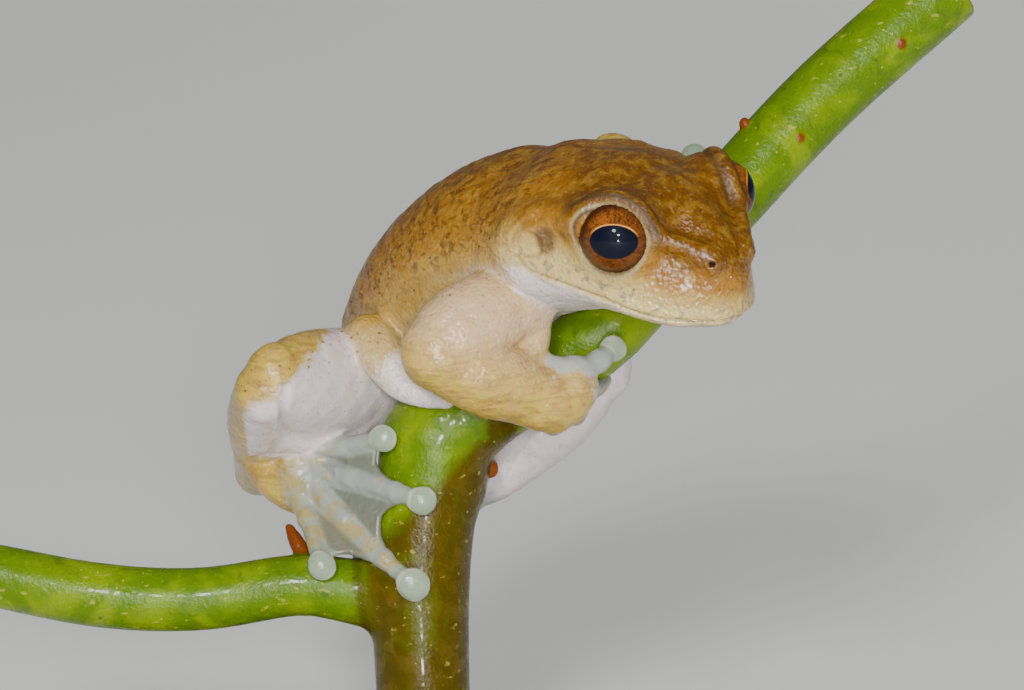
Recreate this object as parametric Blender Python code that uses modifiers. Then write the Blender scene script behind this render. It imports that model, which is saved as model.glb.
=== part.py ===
"""Life-size still model of a stream tree frog that grips a forked plant stem, on a plain display stand.

All sizes below are millimetres. Head and trunk are drawn in the frog's own frame, with x to the snout, y to its
left, z up and the origin midway between the eyes. Limbs, stem and stand are placed in the model's frame, with z up
and the origin under the stand's rod. Each finished mesh is scaled to metres.
"""

import math

import bmesh
import bpy
from mathutils import Euler, Matrix, Vector

METRES = 0.001
GAP = 0.3

# Place and turn of the frog's own frame
FROG_ORIGIN = Vector((16.3, -4.2, 48.3))
FROG_TURN = Euler((math.radians(7.4), math.radians(17.0), math.radians(-43.0)))
FROG = Matrix.Translation(FROG_ORIGIN) @ FROG_TURN.to_matrix().to_4x4()

# Head
LIP_OUTLINE = ((6.9, 0.0), (6.6, 1.2), (5.6, 2.6), (3.7, 4.3), (1.4, 5.5), (-2.4, 6.6), (-5.8, 7.0), (-9.5, 6.6))
CROWN = ((-10.0, -0.2), (-7.0, 0.9), (-4.0, 1.7), (0.0, 2.1), (3.0, 1.3), (5.0, 0.3))
THROAT = ((-10.0, -8.3), (-6.0, -7.8), (-3.0, -7.3), (0.0, -6.9), (3.0, -6.3), (5.0, -5.7))
MOUTH_LINE = ((-10.0, -4.7), (-5.3, -4.6), (0.0, -4.5), (4.0, -4.8), (7.2, -4.4))
SNOUT_PIVOT = 2.8
SNOUT_FAN = 0.45
UPPER_FULLNESS = 2.2
LOWER_FULLNESS = 2.1
UPPER_TURNS = (90.0, 70.0, 52.0, 36.0, 20.0)
LOWER_TURNS = (30.0, 55.0, 75.0, 90.0)
LIP_ROLL = 0.45
LIP_TUCK = 0.2
MOUTH_DEPTH = 0.5
MOUTH_CORNER = -5.6
HEAD_COLUMNS = 13
NOSTRIL = Vector((5.2, 1.55, -0.7))
NOSTRIL_FACES = Vector((0.5, 0.75, 0.4)).normalized()
NOSTRIL_RADII = (0.6, 0.5, 0.5)
NOSTRIL_PIT = 0.26
TYMPANUM = Vector((-5.5, 6.35, -2.8))
TYMPANUM_RADIUS = 1.2
TYMPANUM_RISE = 0.5
NECK = Vector((-7.4, 0.0, -3.4))
NECK_LEAN = math.radians(-37.0)

# Eyes
EYE = Vector((-0.1, 4.6, -0.2))
EYE_RADIUS = 2.45
GAZE = Vector((0.39, 0.9, 0.2)).normalized()
LID_THICKNESS = 0.45
EYE_OPENING = 2.2
WINDOW_FLARE = 4.0
WINDOW_DEPTH = 2.5

# Trunk: x, z, half width, height above and depth below the axis
TRUNK = (
    (-3.0, -1.8, 4.6, 3.0, 3.4),
    (-5.8, -3.6, 6.2, 4.0, 4.9),
    (-8.6, -5.9, 6.8, 5.1, 5.2),
    (-11.6, -8.4, 7.1, 6.3, 5.3),
    (-14.6, -11.4, 7.2, 6.3, 5.7),
    (-17.4, -15.0, 6.9, 5.9, 6.1),
    (-19.6, -18.9, 6.2, 5.2, 5.7),
    (-21.2, -22.8, 5.0, 4.3, 4.6),
    (-22.9, -26.3, 3.0, 2.8, 2.8),
)
TRUNK_FULLNESS = 2.15
TRUNK_SIDES = 24
TRUNK_STEPS = 13
VENT_DOME = 2.0

# Limb joints
SHOULDER_R = Vector((6.2, -0.8, 41.5))
ELBOW_R = Vector((0.8, -5.1, 38.9))
WRIST_R = Vector((8.4, -1.5, 35.4))
SHOULDER_L = Vector((12.3, 8.9, 44.3))
ELBOW_L = Vector((12.2, 8.5, 34.1))
WRIST_L = Vector((5.2, 7.8, 26.1))
HIP_R = Vector((-1.9, 12.7, 32.4))
KNEE_R = Vector((-9.6, 0.6, 35.6))
SHIN_R = Vector((-10.1, 1.0, 34.8))
HEEL_R = Vector((-11.5, 15.8, 25.0))
SOLE_R = Vector((-8.2, 6.4, 27.8))
HIP_L = Vector((2.3, 17.4, 33.3))
KNEE_L = Vector((13.1, 19.5, 46.0))
HEEL_L = Vector((7.4, 26.5, 31.5))
SOLE_L = Vector((13.6, 21.1, 40.2))

# Palms and soles: centre and radii
PALM_R = (Vector((9.6, -0.5, 35.5)), (1.7, 1.1, 1.8))
PALM_L = (Vector((3.8, 7.6, 25.4)), (2.0, 1.3, 1.7))
SOLE_RADII = (1.6, 1.9, 1.5)

# Digits, from the first outward: path of (x, y, z, radius), radius of the pad and the way that it faces
FINGERS_R = (
    (((8.9, -0.3, 36.2, 0.8), (11.0, -0.3, 36.9, 0.75), (12.5, 0.4, 37.9, 0.68)), 0.95, (0.1, -1.0, 0.1)),
    (((9.7, -0.6, 35.3, 0.7), (11.2, 0.6, 35.1, 0.6), (12.0, 3.6, 34.9, 0.5), (11.4, 6.5, 36.3, 0.45)),
     0.8, (0.2, 1.0, -0.2)),
    (((9.1, -0.6, 34.7, 0.75), (10.1, 0.8, 33.3, 0.62), (10.5, 4.0, 33.0, 0.5), (9.4, 7.1, 34.2, 0.45)),
     0.8, (0.2, 1.0, -0.2)),
    (((8.2, -0.5, 34.8, 0.75), (8.7, 0.8, 32.7, 0.65), (8.9, 4.4, 31.7, 0.5), (7.7, 7.4, 32.6, 0.45)),
     0.8, (0.2, 1.0, -0.2)),
)
FINGERS_L = (
    (((3.6, 7.9, 26.0, 0.75), (0.8, 8.0, 27.7, 0.65), (-2.0, 7.6, 28.6, 0.55)), 0.8, (0.0, 1.0, 0.3)),
    (((3.2, 7.9, 25.4, 0.75), (0.2, 7.5, 26.0, 0.65), (-2.8, 6.1, 26.2, 0.6), (-4.1, 3.7, 26.0, 0.55)),
     0.8, (-1.0, 0.3, 0.0)),
    (((3.3, 7.6, 24.9, 0.75), (0.4, 6.8, 23.8, 0.65), (-2.6, 5.2, 23.2, 0.6), (-4.1, 3.1, 22.9, 0.55)),
     0.8, (-1.0, 0.3, 0.0)),
    (((4.0, 7.2, 24.4, 0.7), (2.2, 6.6, 22.0, 0.6), (0.2, 5.9, 20.2, 0.55)), 0.8, (0.0, 1.0, 0.0)),
)
TOES_R = (
    (((-8.0, 6.2, 29.0, 0.85), (-5.1, 4.0, 30.2, 0.65), (-2.5, 1.7, 31.4, 0.55)), 0.95, (-0.3, -1.0, 0.2)),
    (((-7.9, 5.8, 28.3, 0.9), (-4.6, 3.1, 28.2, 0.7), (-1.7, 0.5, 28.1, 0.62), (0.1, -0.6, 27.8, 0.55)),
     1.0, (0.0, -1.0, 0.1)),
    (((-8.2, 5.4, 27.8, 0.9), (-5.1, 2.4, 25.6, 0.7), (-2.4, -0.2, 23.6, 0.62), (-0.5, -1.8, 22.4, 0.55)),
     1.15, (0.0, -1.0, 0.1)),
    (((-8.8, 5.7, 27.4, 0.9), (-7.6, 3.1, 25.4, 0.65), (-6.6, -0.5, 23.3, 0.55)), 1.0, (0.0, -1.0, 0.3)),
)
TOES_L = (
    (((14.0, 20.5, 40.8, 0.8), (16.2, 16.3, 44.9, 0.65), (18.2, 11.8, 48.3, 0.5)), 0.9, (0.3, 0.6, -0.7)),
    (((14.2, 20.4, 40.5, 0.85), (17.8, 16.6, 44.8, 0.65), (21.1, 14.4, 48.1, 0.6), (23.1, 12.8, 50.3, 0.5)),
     0.95, (0.3, 1.0, 0.3)),
    (((14.3, 20.3, 40.1, 0.85), (18.8, 16.2, 43.1, 0.7), (21.8, 13.8, 45.5, 0.6), (23.4, 12.2, 46.9, 0.5)),
     1.0, (0.6, 0.8, 0.0)),
    (((14.2, 20.2, 39.7, 0.8), (16.7, 15.7, 41.5, 0.65), (18.9, 11.6, 43.8, 0.5)), 0.9, (0.6, 0.4, -0.6)),
)
# Webs of each foot: how far each reaches along its two toes
WEBS_R = ((0.85, 0.72), (0.78, 0.82), (0.82, 0.9))
WEBS_L = ((0.7, 0.6), (0.75, 0.75), (0.65, 0.75))
WEB_THICKNESS = 0.5
WEB_HOLLOW = 0.3
WEB_ROWS = 6
WEB_COLUMNS = 4
WEB_SAMPLES = 24
DISC_BREADTH = 0.95
DISC_DEPTH = 0.6

# Stem: x, y, z, radius
STEM = ((0.1, 0.0, 13.6, 3.1), (-0.1, 1.4, 20.3, 3.25), (0.1, 2.9, 25.4, 3.3), (1.1, 4.6, 30.8, 3.6),
        (3.6, 4.8, 33.2, 3.1), (6.5, 4.3, 35.0, 2.6))
UPPER_STEM = ((3.6, 4.8, 32.6, 2.8), (6.5, 4.3, 34.4, 2.65), (11.8, 3.7, 37.9, 2.5), (15.8, 5.8, 41.9, 2.5),
              (19.5, 8.1, 45.2, 2.5), (26.6, 11.4, 52.2, 2.55), (35.4, 14.3, 59.5, 2.55))
BRANCH = ((-1.5, 1.6, 21.1, 2.4), (-4.1, 1.5, 20.8, 2.2), (-8.1, 1.6, 21.3, 2.05), (-14.8, 1.6, 20.3, 2.1),
          (-21.5, 1.8, 20.5, 2.15), (-29.1, 2.7, 21.7, 2.1))

# Stand
BASE_RADIUS = 24.0
BASE_HEIGHT = 4.0
BASE_EDGE = 0.8
BASE_SIDES = 64
ROD_RADIUS = 1.5
ROD_SIDES = 24

# Loft ends and finish
DOME_TURNS = (35.0, 65.0)
VENT_TURNS = (30.0, 60.0)
SHARP_ANGLE = math.radians(50.0)
WELD = 0.002
BLOCK_SIZE = 60.0


def open_collection(name):
    """Add a collection to the scene and return it."""
    collection = bpy.data.collections.new(name)
    bpy.context.scene.collection.children.link(collection)
    return collection


def curve_through(keys, count):
    """Sample a smooth curve through keys at count even steps along its length."""
    keys = [Vector(key) for key in keys]
    first = keys[0] * 2 - keys[1]
    last = keys[-1] * 2 - keys[-2]
    hull = [first] + keys + [last]
    fine = []
    for index in range(len(keys) - 1):
        before, start, end, after = hull[index:index + 4]
        for step in range(12):
            t = step / 12
            fine.append(0.5 * (2 * start + (end - before) * t + (2 * before - 5 * start + 4 * end - after) * t ** 2
                               + (3 * start - before - 3 * end + after) * t ** 3))
    fine.append(keys[-1])
    run = [0.0]
    for a, b in zip(fine, fine[1:]):
        run.append(run[-1] + (b - a).length)
    samples = []
    place = 0
    for step in range(count):
        target = run[-1] * step / (count - 1)
        while place < len(run) - 2 and run[place + 1] < target:
            place += 1
        share = (target - run[place]) / (run[place + 1] - run[place])
        samples.append(fine[place].lerp(fine[place + 1], share))
    return samples


def height_at(profile, x):
    """Height of a profile of (x, height) points at x, straight between the points."""
    points = sorted(profile)
    if x <= points[0][0]:
        return points[0][1]
    for (x0, z0), (x1, z1) in zip(points, points[1:]):
        if x <= x1:
            return z0 + (z1 - z0) * (x - x0) / (x1 - x0)
    return points[-1][1]


def new_object(name, mesh_data, collection):
    """Make a mesh object from a bmesh, which is freed."""
    bmesh.ops.recalc_face_normals(mesh_data, faces=mesh_data.faces)
    mesh = bpy.data.meshes.new(name)
    mesh_data.to_mesh(mesh)
    mesh_data.free()
    made = bpy.data.objects.new(name, mesh)
    collection.objects.link(made)
    return made


def loft(rings, collection, name="form"):
    """Skin a row of closed rings and close both ends to a point."""
    data = bmesh.new()
    rows = [[data.verts.new(point) for point in ring] for ring in rings]
    for lower, upper in zip(rows, rows[1:]):
        count = len(lower)
        for index in range(count):
            following = (index + 1) % count
            data.faces.new((lower[index], lower[following], upper[following], upper[index]))
    for ring in (rows[0], rows[-1]):
        centre = data.verts.new(sum((vert.co for vert in ring), Vector()) / len(ring))
        for index in range(len(ring)):
            data.faces.new((ring[index], ring[(index + 1) % len(ring)], centre))
    return new_object(name, data, collection)


def limb(keys, facing, collection, sides=12, steps=9, flat_ends=False):
    """Loft a limb through keys of (x, y, z, half width, half depth), its depth along facing, with domed ends."""
    samples = curve_through(keys, steps)
    places = [Vector(sample[:3]) for sample in samples]
    rows = []
    for index, place in enumerate(places):
        ahead = places[min(index + 1, steps - 1)]
        behind = places[max(index - 1, 0)]
        rows.append((place, (ahead - behind).normalized(), samples[index][3], samples[index][4]))
    if not flat_ends:
        start, end = rows[0], rows[-1]
        for turn in DOME_TURNS:
            shrink = math.cos(math.radians(turn))
            reach = math.sin(math.radians(turn))
            for row, sign in ((start, -1.0), (end, 1.0)):
                place, ahead, half_width, half_depth = row
                tip = place + ahead * sign * min(half_width, half_depth) * reach
                ended = (tip, ahead, half_width * shrink, half_depth * shrink)
                rows.insert(0 if sign < 0 else len(rows), ended)
    rings = []
    for place, ahead, half_width, half_depth in rows:
        across = Vector(facing).cross(ahead).normalized()
        depth = ahead.cross(across).normalized()
        ring = []
        for side in range(sides):
            turn = 2 * math.pi * side / sides
            ring.append(place + across * half_width * math.cos(turn) + depth * half_depth * math.sin(turn))
        rings.append(ring)
    return loft(rings, collection)


def rod(keys, collection, sides=12, steps=9, flat_ends=False):
    """Loft a round limb through keys of (x, y, z, radius)."""
    doubled = [tuple(key) + (key[3],) for key in keys]
    start, end = Vector(keys[0][:3]), Vector(keys[-1][:3])
    run = (end - start).normalized()
    facing = Vector((0.0, -1.0, 0.0))
    if abs(run.dot(facing)) > 0.8:
        facing = Vector((1.0, 0.0, 0.0))
    return limb(doubled, facing, collection, sides, steps, flat_ends)


def ball(centre, radii, collection, frame=Matrix(), segments=14, rings=9):
    """Make an ellipsoid at centre, its radii along the axes of frame."""
    data = bmesh.new()
    place = frame.to_3x3().to_4x4()
    place.translation = centre
    place = place @ Matrix.Diagonal((*radii, 1.0))
    bmesh.ops.create_uvsphere(data, u_segments=segments, v_segments=rings, radius=1.0, matrix=place)
    return new_object("form", data, collection)


def grown_copy(source, distance, collection):
    """Copy a form with its surface moved out by distance."""
    copy = bpy.data.objects.new("cutter", source.data.copy())
    collection.objects.link(copy)
    normals = [vertex.normal.copy() for vertex in copy.data.vertices]
    for vertex, normal in zip(copy.data.vertices, normals):
        vertex.co += normal * distance
    return copy


def join(target, collection, operation):
    """Fuse with or cut by everything in collection, and keep only the largest closed surface."""
    if not collection.objects:
        return
    modifier = target.modifiers.new("joined", "BOOLEAN")
    modifier.operation = operation
    modifier.operand_type = "COLLECTION"
    modifier.collection = collection
    modifier.solver = "EXACT"
    apply_modifiers(target)
    keep_largest(target.data)
    for used in list(collection.objects):
        bpy.data.objects.remove(used)


def keep_largest(mesh):
    """Weld a mesh and drop every closed surface but the largest."""
    data = bmesh.new()
    data.from_mesh(mesh)
    bmesh.ops.remove_doubles(data, verts=data.verts, dist=WELD)
    bmesh.ops.dissolve_degenerate(data, edges=data.edges, dist=WELD)
    data.verts.ensure_lookup_table()
    unseen = set(data.verts)
    shells = []
    while unseen:
        stack = [unseen.pop()]
        shell = set(stack)
        while stack:
            for edge in stack.pop().link_edges:
                for vert in edge.verts:
                    if vert in unseen:
                        unseen.discard(vert)
                        shell.add(vert)
                        stack.append(vert)
        shells.append(shell)
    largest = max(shells, key=len)
    loose = [vert for vert in data.verts if vert not in largest]
    bmesh.ops.delete(data, geom=loose, context="VERTS")
    bmesh.ops.triangulate(data, faces=data.faces)
    data.to_mesh(mesh)
    data.free()


def mirrored(point):
    """The same point on the frog's other side."""
    return Vector((point[0], -point[1], point[2]))


def lip_point(share):
    """Point of the lip outline at a share of its length, from the left jaw corner round the snout to the right."""
    left = [Vector((x, y, 0.0)) for x, y in reversed(LIP_OUTLINE)]
    right = [mirrored(point) for point in reversed(left[:-1])]
    samples = curve_through(left + right, 2 * HEAD_COLUMNS - 1)
    return samples[share]


def head_ring(lip):
    """Half section of the head from crown to throat, through one point of the lip outline."""
    axis_x = lip.x
    if lip.x > SNOUT_PIVOT:
        axis_x = SNOUT_PIVOT + (lip.x - SNOUT_PIVOT) * SNOUT_FAN
    axis = Vector((axis_x, 0.0, 0.0))
    out = lip - axis
    reach = out.length
    out.normalize()
    crown = height_at(CROWN, axis_x)
    throat = height_at(THROAT, axis_x)
    mouth = height_at(MOUTH_LINE, lip.x)
    section = []
    upper = mouth + LIP_ROLL
    for turn in UPPER_TURNS:
        run = abs(math.cos(math.radians(turn))) ** (2 / UPPER_FULLNESS)
        rise = math.sin(math.radians(turn)) ** (2 / UPPER_FULLNESS)
        section.append((reach * run, upper + (crown - upper) * rise))
    slit = MOUTH_DEPTH if lip.x > MOUTH_CORNER else LIP_TUCK / 4
    section.append((reach, upper))
    section.append((reach - LIP_TUCK / 4, mouth + LIP_TUCK / 2))
    section.append((reach - slit, mouth))
    section.append((reach - LIP_TUCK, mouth - LIP_TUCK))
    lower = mouth - LIP_TUCK
    for turn in LOWER_TURNS:
        run = abs(math.cos(math.radians(turn))) ** (2 / LOWER_FULLNESS)
        drop = math.sin(math.radians(turn)) ** (2 / LOWER_FULLNESS)
        section.append(((reach - LIP_TUCK) * run, lower + (throat - lower) * drop))
    return [FROG @ (axis + out * run + Vector((0.0, 0.0, height))) for run, height in section]


def head_core(collection):
    """Skull and jaws: half sections set side by side round the snout, closed at the nape."""
    count = 2 * HEAD_COLUMNS - 1
    data = bmesh.new()
    rows = [[data.verts.new(point) for point in head_ring(lip_point(index))] for index in range(count)]
    for left, right in zip(rows, rows[1:]):
        for index in range(len(left) - 1):
            data.faces.new((left[index], left[index + 1], right[index + 1], right[index]))
    bmesh.ops.remove_doubles(data, verts=data.verts, dist=0.01)
    bmesh.ops.holes_fill(data, edges=data.edges, sides=0)
    return new_object("form", data, collection)


def trunk_ring(key, ahead):
    """Closed section of the trunk, square to the spine."""
    x, z, half_width, above, below = key
    up = Vector((-ahead.z, 0.0, ahead.x))
    ring = []
    for side in range(TRUNK_SIDES):
        turn = 2 * math.pi * side / TRUNK_SIDES
        across = math.copysign(abs(math.cos(turn)) ** (2 / TRUNK_FULLNESS), math.cos(turn))
        rise = math.copysign(abs(math.sin(turn)) ** (2 / TRUNK_FULLNESS), math.sin(turn))
        height = rise * (above if rise > 0 else below)
        ring.append(FROG @ (Vector((x, across * half_width, z)) + up * height))
    return ring


def trunk_core(collection):
    """The trunk from nape to vent."""
    samples = curve_through(TRUNK, TRUNK_STEPS)
    rings = []
    for index, sample in enumerate(samples):
        ahead = samples[max(index - 1, 0)] - samples[min(index + 1, len(samples) - 1)]
        rings.append(trunk_ring(sample, Vector((ahead[0], 0.0, ahead[1])).normalized()))
    vent = rings[-1]
    middle = sum(vent, Vector()) / len(vent)
    aft = (middle - sum(rings[-2], Vector()) / len(vent)).normalized()
    for turn in VENT_TURNS:
        shrink = math.cos(math.radians(turn))
        reach = aft * VENT_DOME * math.sin(math.radians(turn))
        rings.append([middle + (point - middle) * shrink + reach for point in vent])
    return loft(rings, collection)


def turned_to(direction, up=(0.0, 0.0, 1.0)):
    """Frame whose z runs along direction."""
    z_axis = Vector(direction).normalized()
    x_axis = Vector(up).cross(z_axis).normalized()
    y_axis = z_axis.cross(x_axis)
    return Matrix((x_axis, y_axis, z_axis)).transposed().to_4x4()


def digit(keys, pad_radius, pad_faces, collection):
    """A finger or toe through keys of (x, y, z, radius), with a flattened disc at its tip facing pad_faces."""
    shaft = rod(keys, collection, sides=8, steps=2 * len(keys) + 1)
    tip = Vector(keys[-1][:3])
    frame = turned_to(pad_faces, up=tip - Vector(keys[-2][:3]))
    radii = (pad_radius * DISC_BREADTH, pad_radius, pad_radius * DISC_DEPTH)
    return [shaft, ball(tip, radii, collection, frame, segments=10, rings=7)]


def apply_modifiers(made):
    """Replace an object's mesh by what its modifiers make of it."""
    evaluated = made.evaluated_get(bpy.context.evaluated_depsgraph_get())
    mesh = bpy.data.meshes.new_from_object(evaluated)
    made.modifiers.clear()
    made.data = mesh


def web(first, second, reaches, collection):
    """A thin web between two digits, its free edge hollowed between them."""
    runs = [curve_through([key[:3] for key in keys], WEB_SAMPLES) for keys in (first, second)]
    last = WEB_SAMPLES - 1
    data = bmesh.new()
    grid = []
    for row in range(WEB_ROWS):
        share = row / (WEB_ROWS - 1)
        line = []
        for column in range(WEB_COLUMNS):
            across = column / (WEB_COLUMNS - 1)
            hollow = 1.0 - WEB_HOLLOW * math.sin(math.pi * across)
            near, far = (run[round(last * share * reach * hollow)] for run, reach in zip(runs, reaches))
            line.append(data.verts.new(near.lerp(far, across)))
        grid.append(line)
    for near, far in zip(grid, grid[1:]):
        for column in range(WEB_COLUMNS - 1):
            data.faces.new((near[column], near[column + 1], far[column + 1], far[column]))
    made = new_object("form", data, collection)
    thicken = made.modifiers.new("thickness", "SOLIDIFY")
    thicken.thickness = WEB_THICKNESS
    thicken.offset = 0.0
    apply_modifiers(made)
    return made


def neck_block(ahead, collection):
    """A block that fills the space before or behind the neck and half a gap past it."""
    sign = 1.0 if ahead else -1.0
    data = bmesh.new()
    bmesh.ops.create_cube(data, size=BLOCK_SIZE)
    lean = Matrix.Rotation(NECK_LEAN, 4, "Y")
    shift = Matrix.Translation((sign * (BLOCK_SIZE - GAP) / 2, 0.0, 0.0))
    data.transform(FROG @ Matrix.Translation(NECK) @ lean @ shift)
    return new_object("cutter", data, collection)


def eye_window(side, collection):
    """The cone that opens the lids round one eye."""
    centre = Vector((EYE.x, side * EYE.y, EYE.z))
    gaze = Vector((GAZE.x, side * GAZE.y, GAZE.z))
    data = bmesh.new()
    start = math.sqrt(EYE_RADIUS ** 2 - EYE_OPENING ** 2)
    frame = turned_to(gaze)
    frame.translation = centre + gaze * (start + WINDOW_DEPTH / 2)
    bmesh.ops.create_cone(data, cap_ends=True, segments=24, radius1=EYE_OPENING,
                          radius2=EYE_OPENING + WINDOW_FLARE, depth=WINDOW_DEPTH, matrix=FROG @ frame)
    return new_object("cutter", data, collection)


def make_material(name, colour, roughness=0.5, metallic=0.0):
    """A plain material of one colour."""
    material = bpy.data.materials.new(name)
    material.use_nodes = True
    shader = material.node_tree.nodes["Principled BSDF"]
    shader.inputs["Base Color"].default_value = (*colour, 1.0)
    shader.inputs["Roughness"].default_value = roughness
    shader.inputs["Metallic"].default_value = metallic
    material.diffuse_color = (*colour, 1.0)
    return material


class Model:
    """Collects each node's forms, then fuses, fits and finishes the nodes in order."""

    def __init__(self):
        self.parts = open_collection("ceiba_stream_frog")
        self.forms = open_collection("forms")
        self.cutters = open_collection("cutters")
        self.pieces = {}

    def shape(self, name, *forms):
        """Register the forms that make up a node."""
        flat = []
        for form in forms:
            flat.extend(form if isinstance(form, list) else [form])
        self.pieces[name] = flat

    def finish(self, name, colour, roughness, clear_of=(), cutters=()):
        """Fuse a node's forms, cut them clear of its neighbours and scale the result to metres."""
        forms = self.pieces[name]
        node = bpy.data.objects.new(name, forms[0].data.copy())
        self.parts.objects.link(node)
        for form in forms[1:]:
            grown_copy(form, 0.0, self.cutters)
        join(node, self.cutters, "UNION")
        for neighbour in clear_of:
            for form in self.pieces[neighbour]:
                grown_copy(form, GAP, self.cutters)
        for cutter in cutters:
            self.cutters.objects.link(cutter)
            self.forms.objects.unlink(cutter)
        join(node, self.cutters, "DIFFERENCE")
        node.data.materials.clear()
        node.data.materials.append(make_material(name, colour, roughness))
        node.data.transform(Matrix.Scale(METRES, 4))
        node.data.shade_smooth()
        node.data.set_sharp_from_angle(angle=SHARP_ANGLE)

    def close(self):
        """Remove the forms that the nodes were cut from."""
        for collection in (self.forms, self.cutters):
            for left in list(collection.objects):
                bpy.data.objects.remove(left)
            bpy.data.collections.remove(collection)


def frog_ball(point, radii, collection, **options):
    """An ellipsoid placed and turned with the frog's own frame."""
    return ball(FROG @ Vector(point), radii, collection, FROG, **options)


def shape_body(model):
    """Head, trunk and eyes, and the pits of the nostrils."""
    forms = model.forms
    lids, drums, nostrils, pits = [], [], [], []
    lid_radius = EYE_RADIUS + GAP + LID_THICKNESS
    for side in (1, -1):
        flip = Vector((1.0, side, 1.0))
        model.shape("eye_left" if side > 0 else "eye_right",
                    frog_ball(EYE * flip, (EYE_RADIUS,) * 3, forms, segments=20, rings=14))
        lids.append(frog_ball(EYE * flip, (lid_radius,) * 3, forms, segments=24, rings=16))
        drums.append(frog_ball(TYMPANUM * flip, (TYMPANUM_RADIUS, TYMPANUM_RISE, TYMPANUM_RADIUS), forms,
                               segments=16, rings=8))
        nostrils.append(frog_ball(NOSTRIL * flip, NOSTRIL_RADII, forms, segments=10, rings=7))
        opening = (NOSTRIL + NOSTRIL_FACES * NOSTRIL_RADII[1]) * flip
        pits.append(frog_ball(opening, (NOSTRIL_PIT,) * 3, forms, segments=8, rings=6))
    model.shape("head", head_core(forms), trunk_core(forms), lids, drums, nostrils)
    model.shape("torso", trunk_core(forms), head_core(forms))
    return pits


def shape_arm(model, side, shoulder, elbow, wrist, upper_radii, fore_radii, palm, fingers):
    """Upper arm, forearm and hand of one side."""
    forms = model.forms
    middle = shoulder.lerp(elbow, 0.5)
    model.shape(f"upper_arm_{side}",
                rod([(*place, radius) for place, radius in zip((shoulder, middle, elbow), upper_radii)], forms))
    places = (elbow, elbow.lerp(wrist, 0.42), elbow.lerp(wrist, 0.78), wrist)
    model.shape(f"forearm_{side}",
                rod([(*place, radius) for place, radius in zip(places, fore_radii)], forms))
    digits = [digit(*finger, forms) for finger in fingers]
    model.shape(f"hand_{side}", ball(*palm, forms), *digits)


def shape_leg(model, side, joints, facing, thigh, shank, toes, webs):
    """Thigh, shank, ankle and foot of one side, each with its half widths and half depths."""
    forms = model.forms
    hip, knee, shin, heel, sole = joints
    ankle = ((1.3, 1.3), (1.4, 1.2), (1.6, 1.2))
    rows = (
        ("thigh", hip, knee, (0.0, 0.4, 0.77, 1.0), thigh),
        ("shank", shin, heel, (0.0, 0.35, 0.75, 1.0), shank),
        ("ankle", heel, sole, (0.0, 0.5, 1.0), ankle),
    )
    for name, start, end, shares, sizes in rows:
        keys = [(*start.lerp(end, share), *size) for share, size in zip(shares, sizes)]
        model.shape(f"{name}_{side}", limb(keys, facing, forms))
    digits = [digit(*toe, forms) for toe in toes]
    sheets = [web(first[0], second[0], reaches, forms) for first, second, reaches in zip(toes, toes[1:], webs)]
    model.shape(f"foot_{side}", ball(sole, SOLE_RADII, forms), *digits, *sheets)


def shape_stand(model):
    """The plain base and its rod."""
    forms = model.forms
    base = bmesh.new()
    bmesh.ops.create_cone(base, cap_ends=True, segments=BASE_SIDES, radius1=BASE_RADIUS, radius2=BASE_RADIUS,
                          depth=BASE_HEIGHT, matrix=Matrix.Translation((0.0, 0.0, BASE_HEIGHT / 2)))
    disc = new_object("form", base, forms)
    edge = disc.modifiers.new("edge", "BEVEL")
    edge.width = BASE_EDGE
    edge.segments = 3
    apply_modifiers(disc)
    model.shape("stand_base", disc)
    low = BASE_HEIGHT + GAP
    high = STEM[0][2] - GAP
    post = bmesh.new()
    bmesh.ops.create_cone(post, cap_ends=True, segments=ROD_SIDES, radius1=ROD_RADIUS, radius2=ROD_RADIUS,
                          depth=high - low, matrix=Matrix.Translation((0.0, 0.0, (low + high) / 2)))
    model.shape("stand_rod", new_object("form", post, forms))


def shape_perch(model):
    """The forked stem: its standing part, its upper part and its side branch."""
    forms = model.forms
    model.shape("perch_stem", rod(STEM, forms, sides=18, steps=11, flat_ends=True))
    model.shape("perch_upper", rod(UPPER_STEM, forms, sides=16, steps=14, flat_ends=True))
    model.shape("perch_branch", rod(BRANCH, forms, sides=14, steps=10, flat_ends=True))


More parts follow.
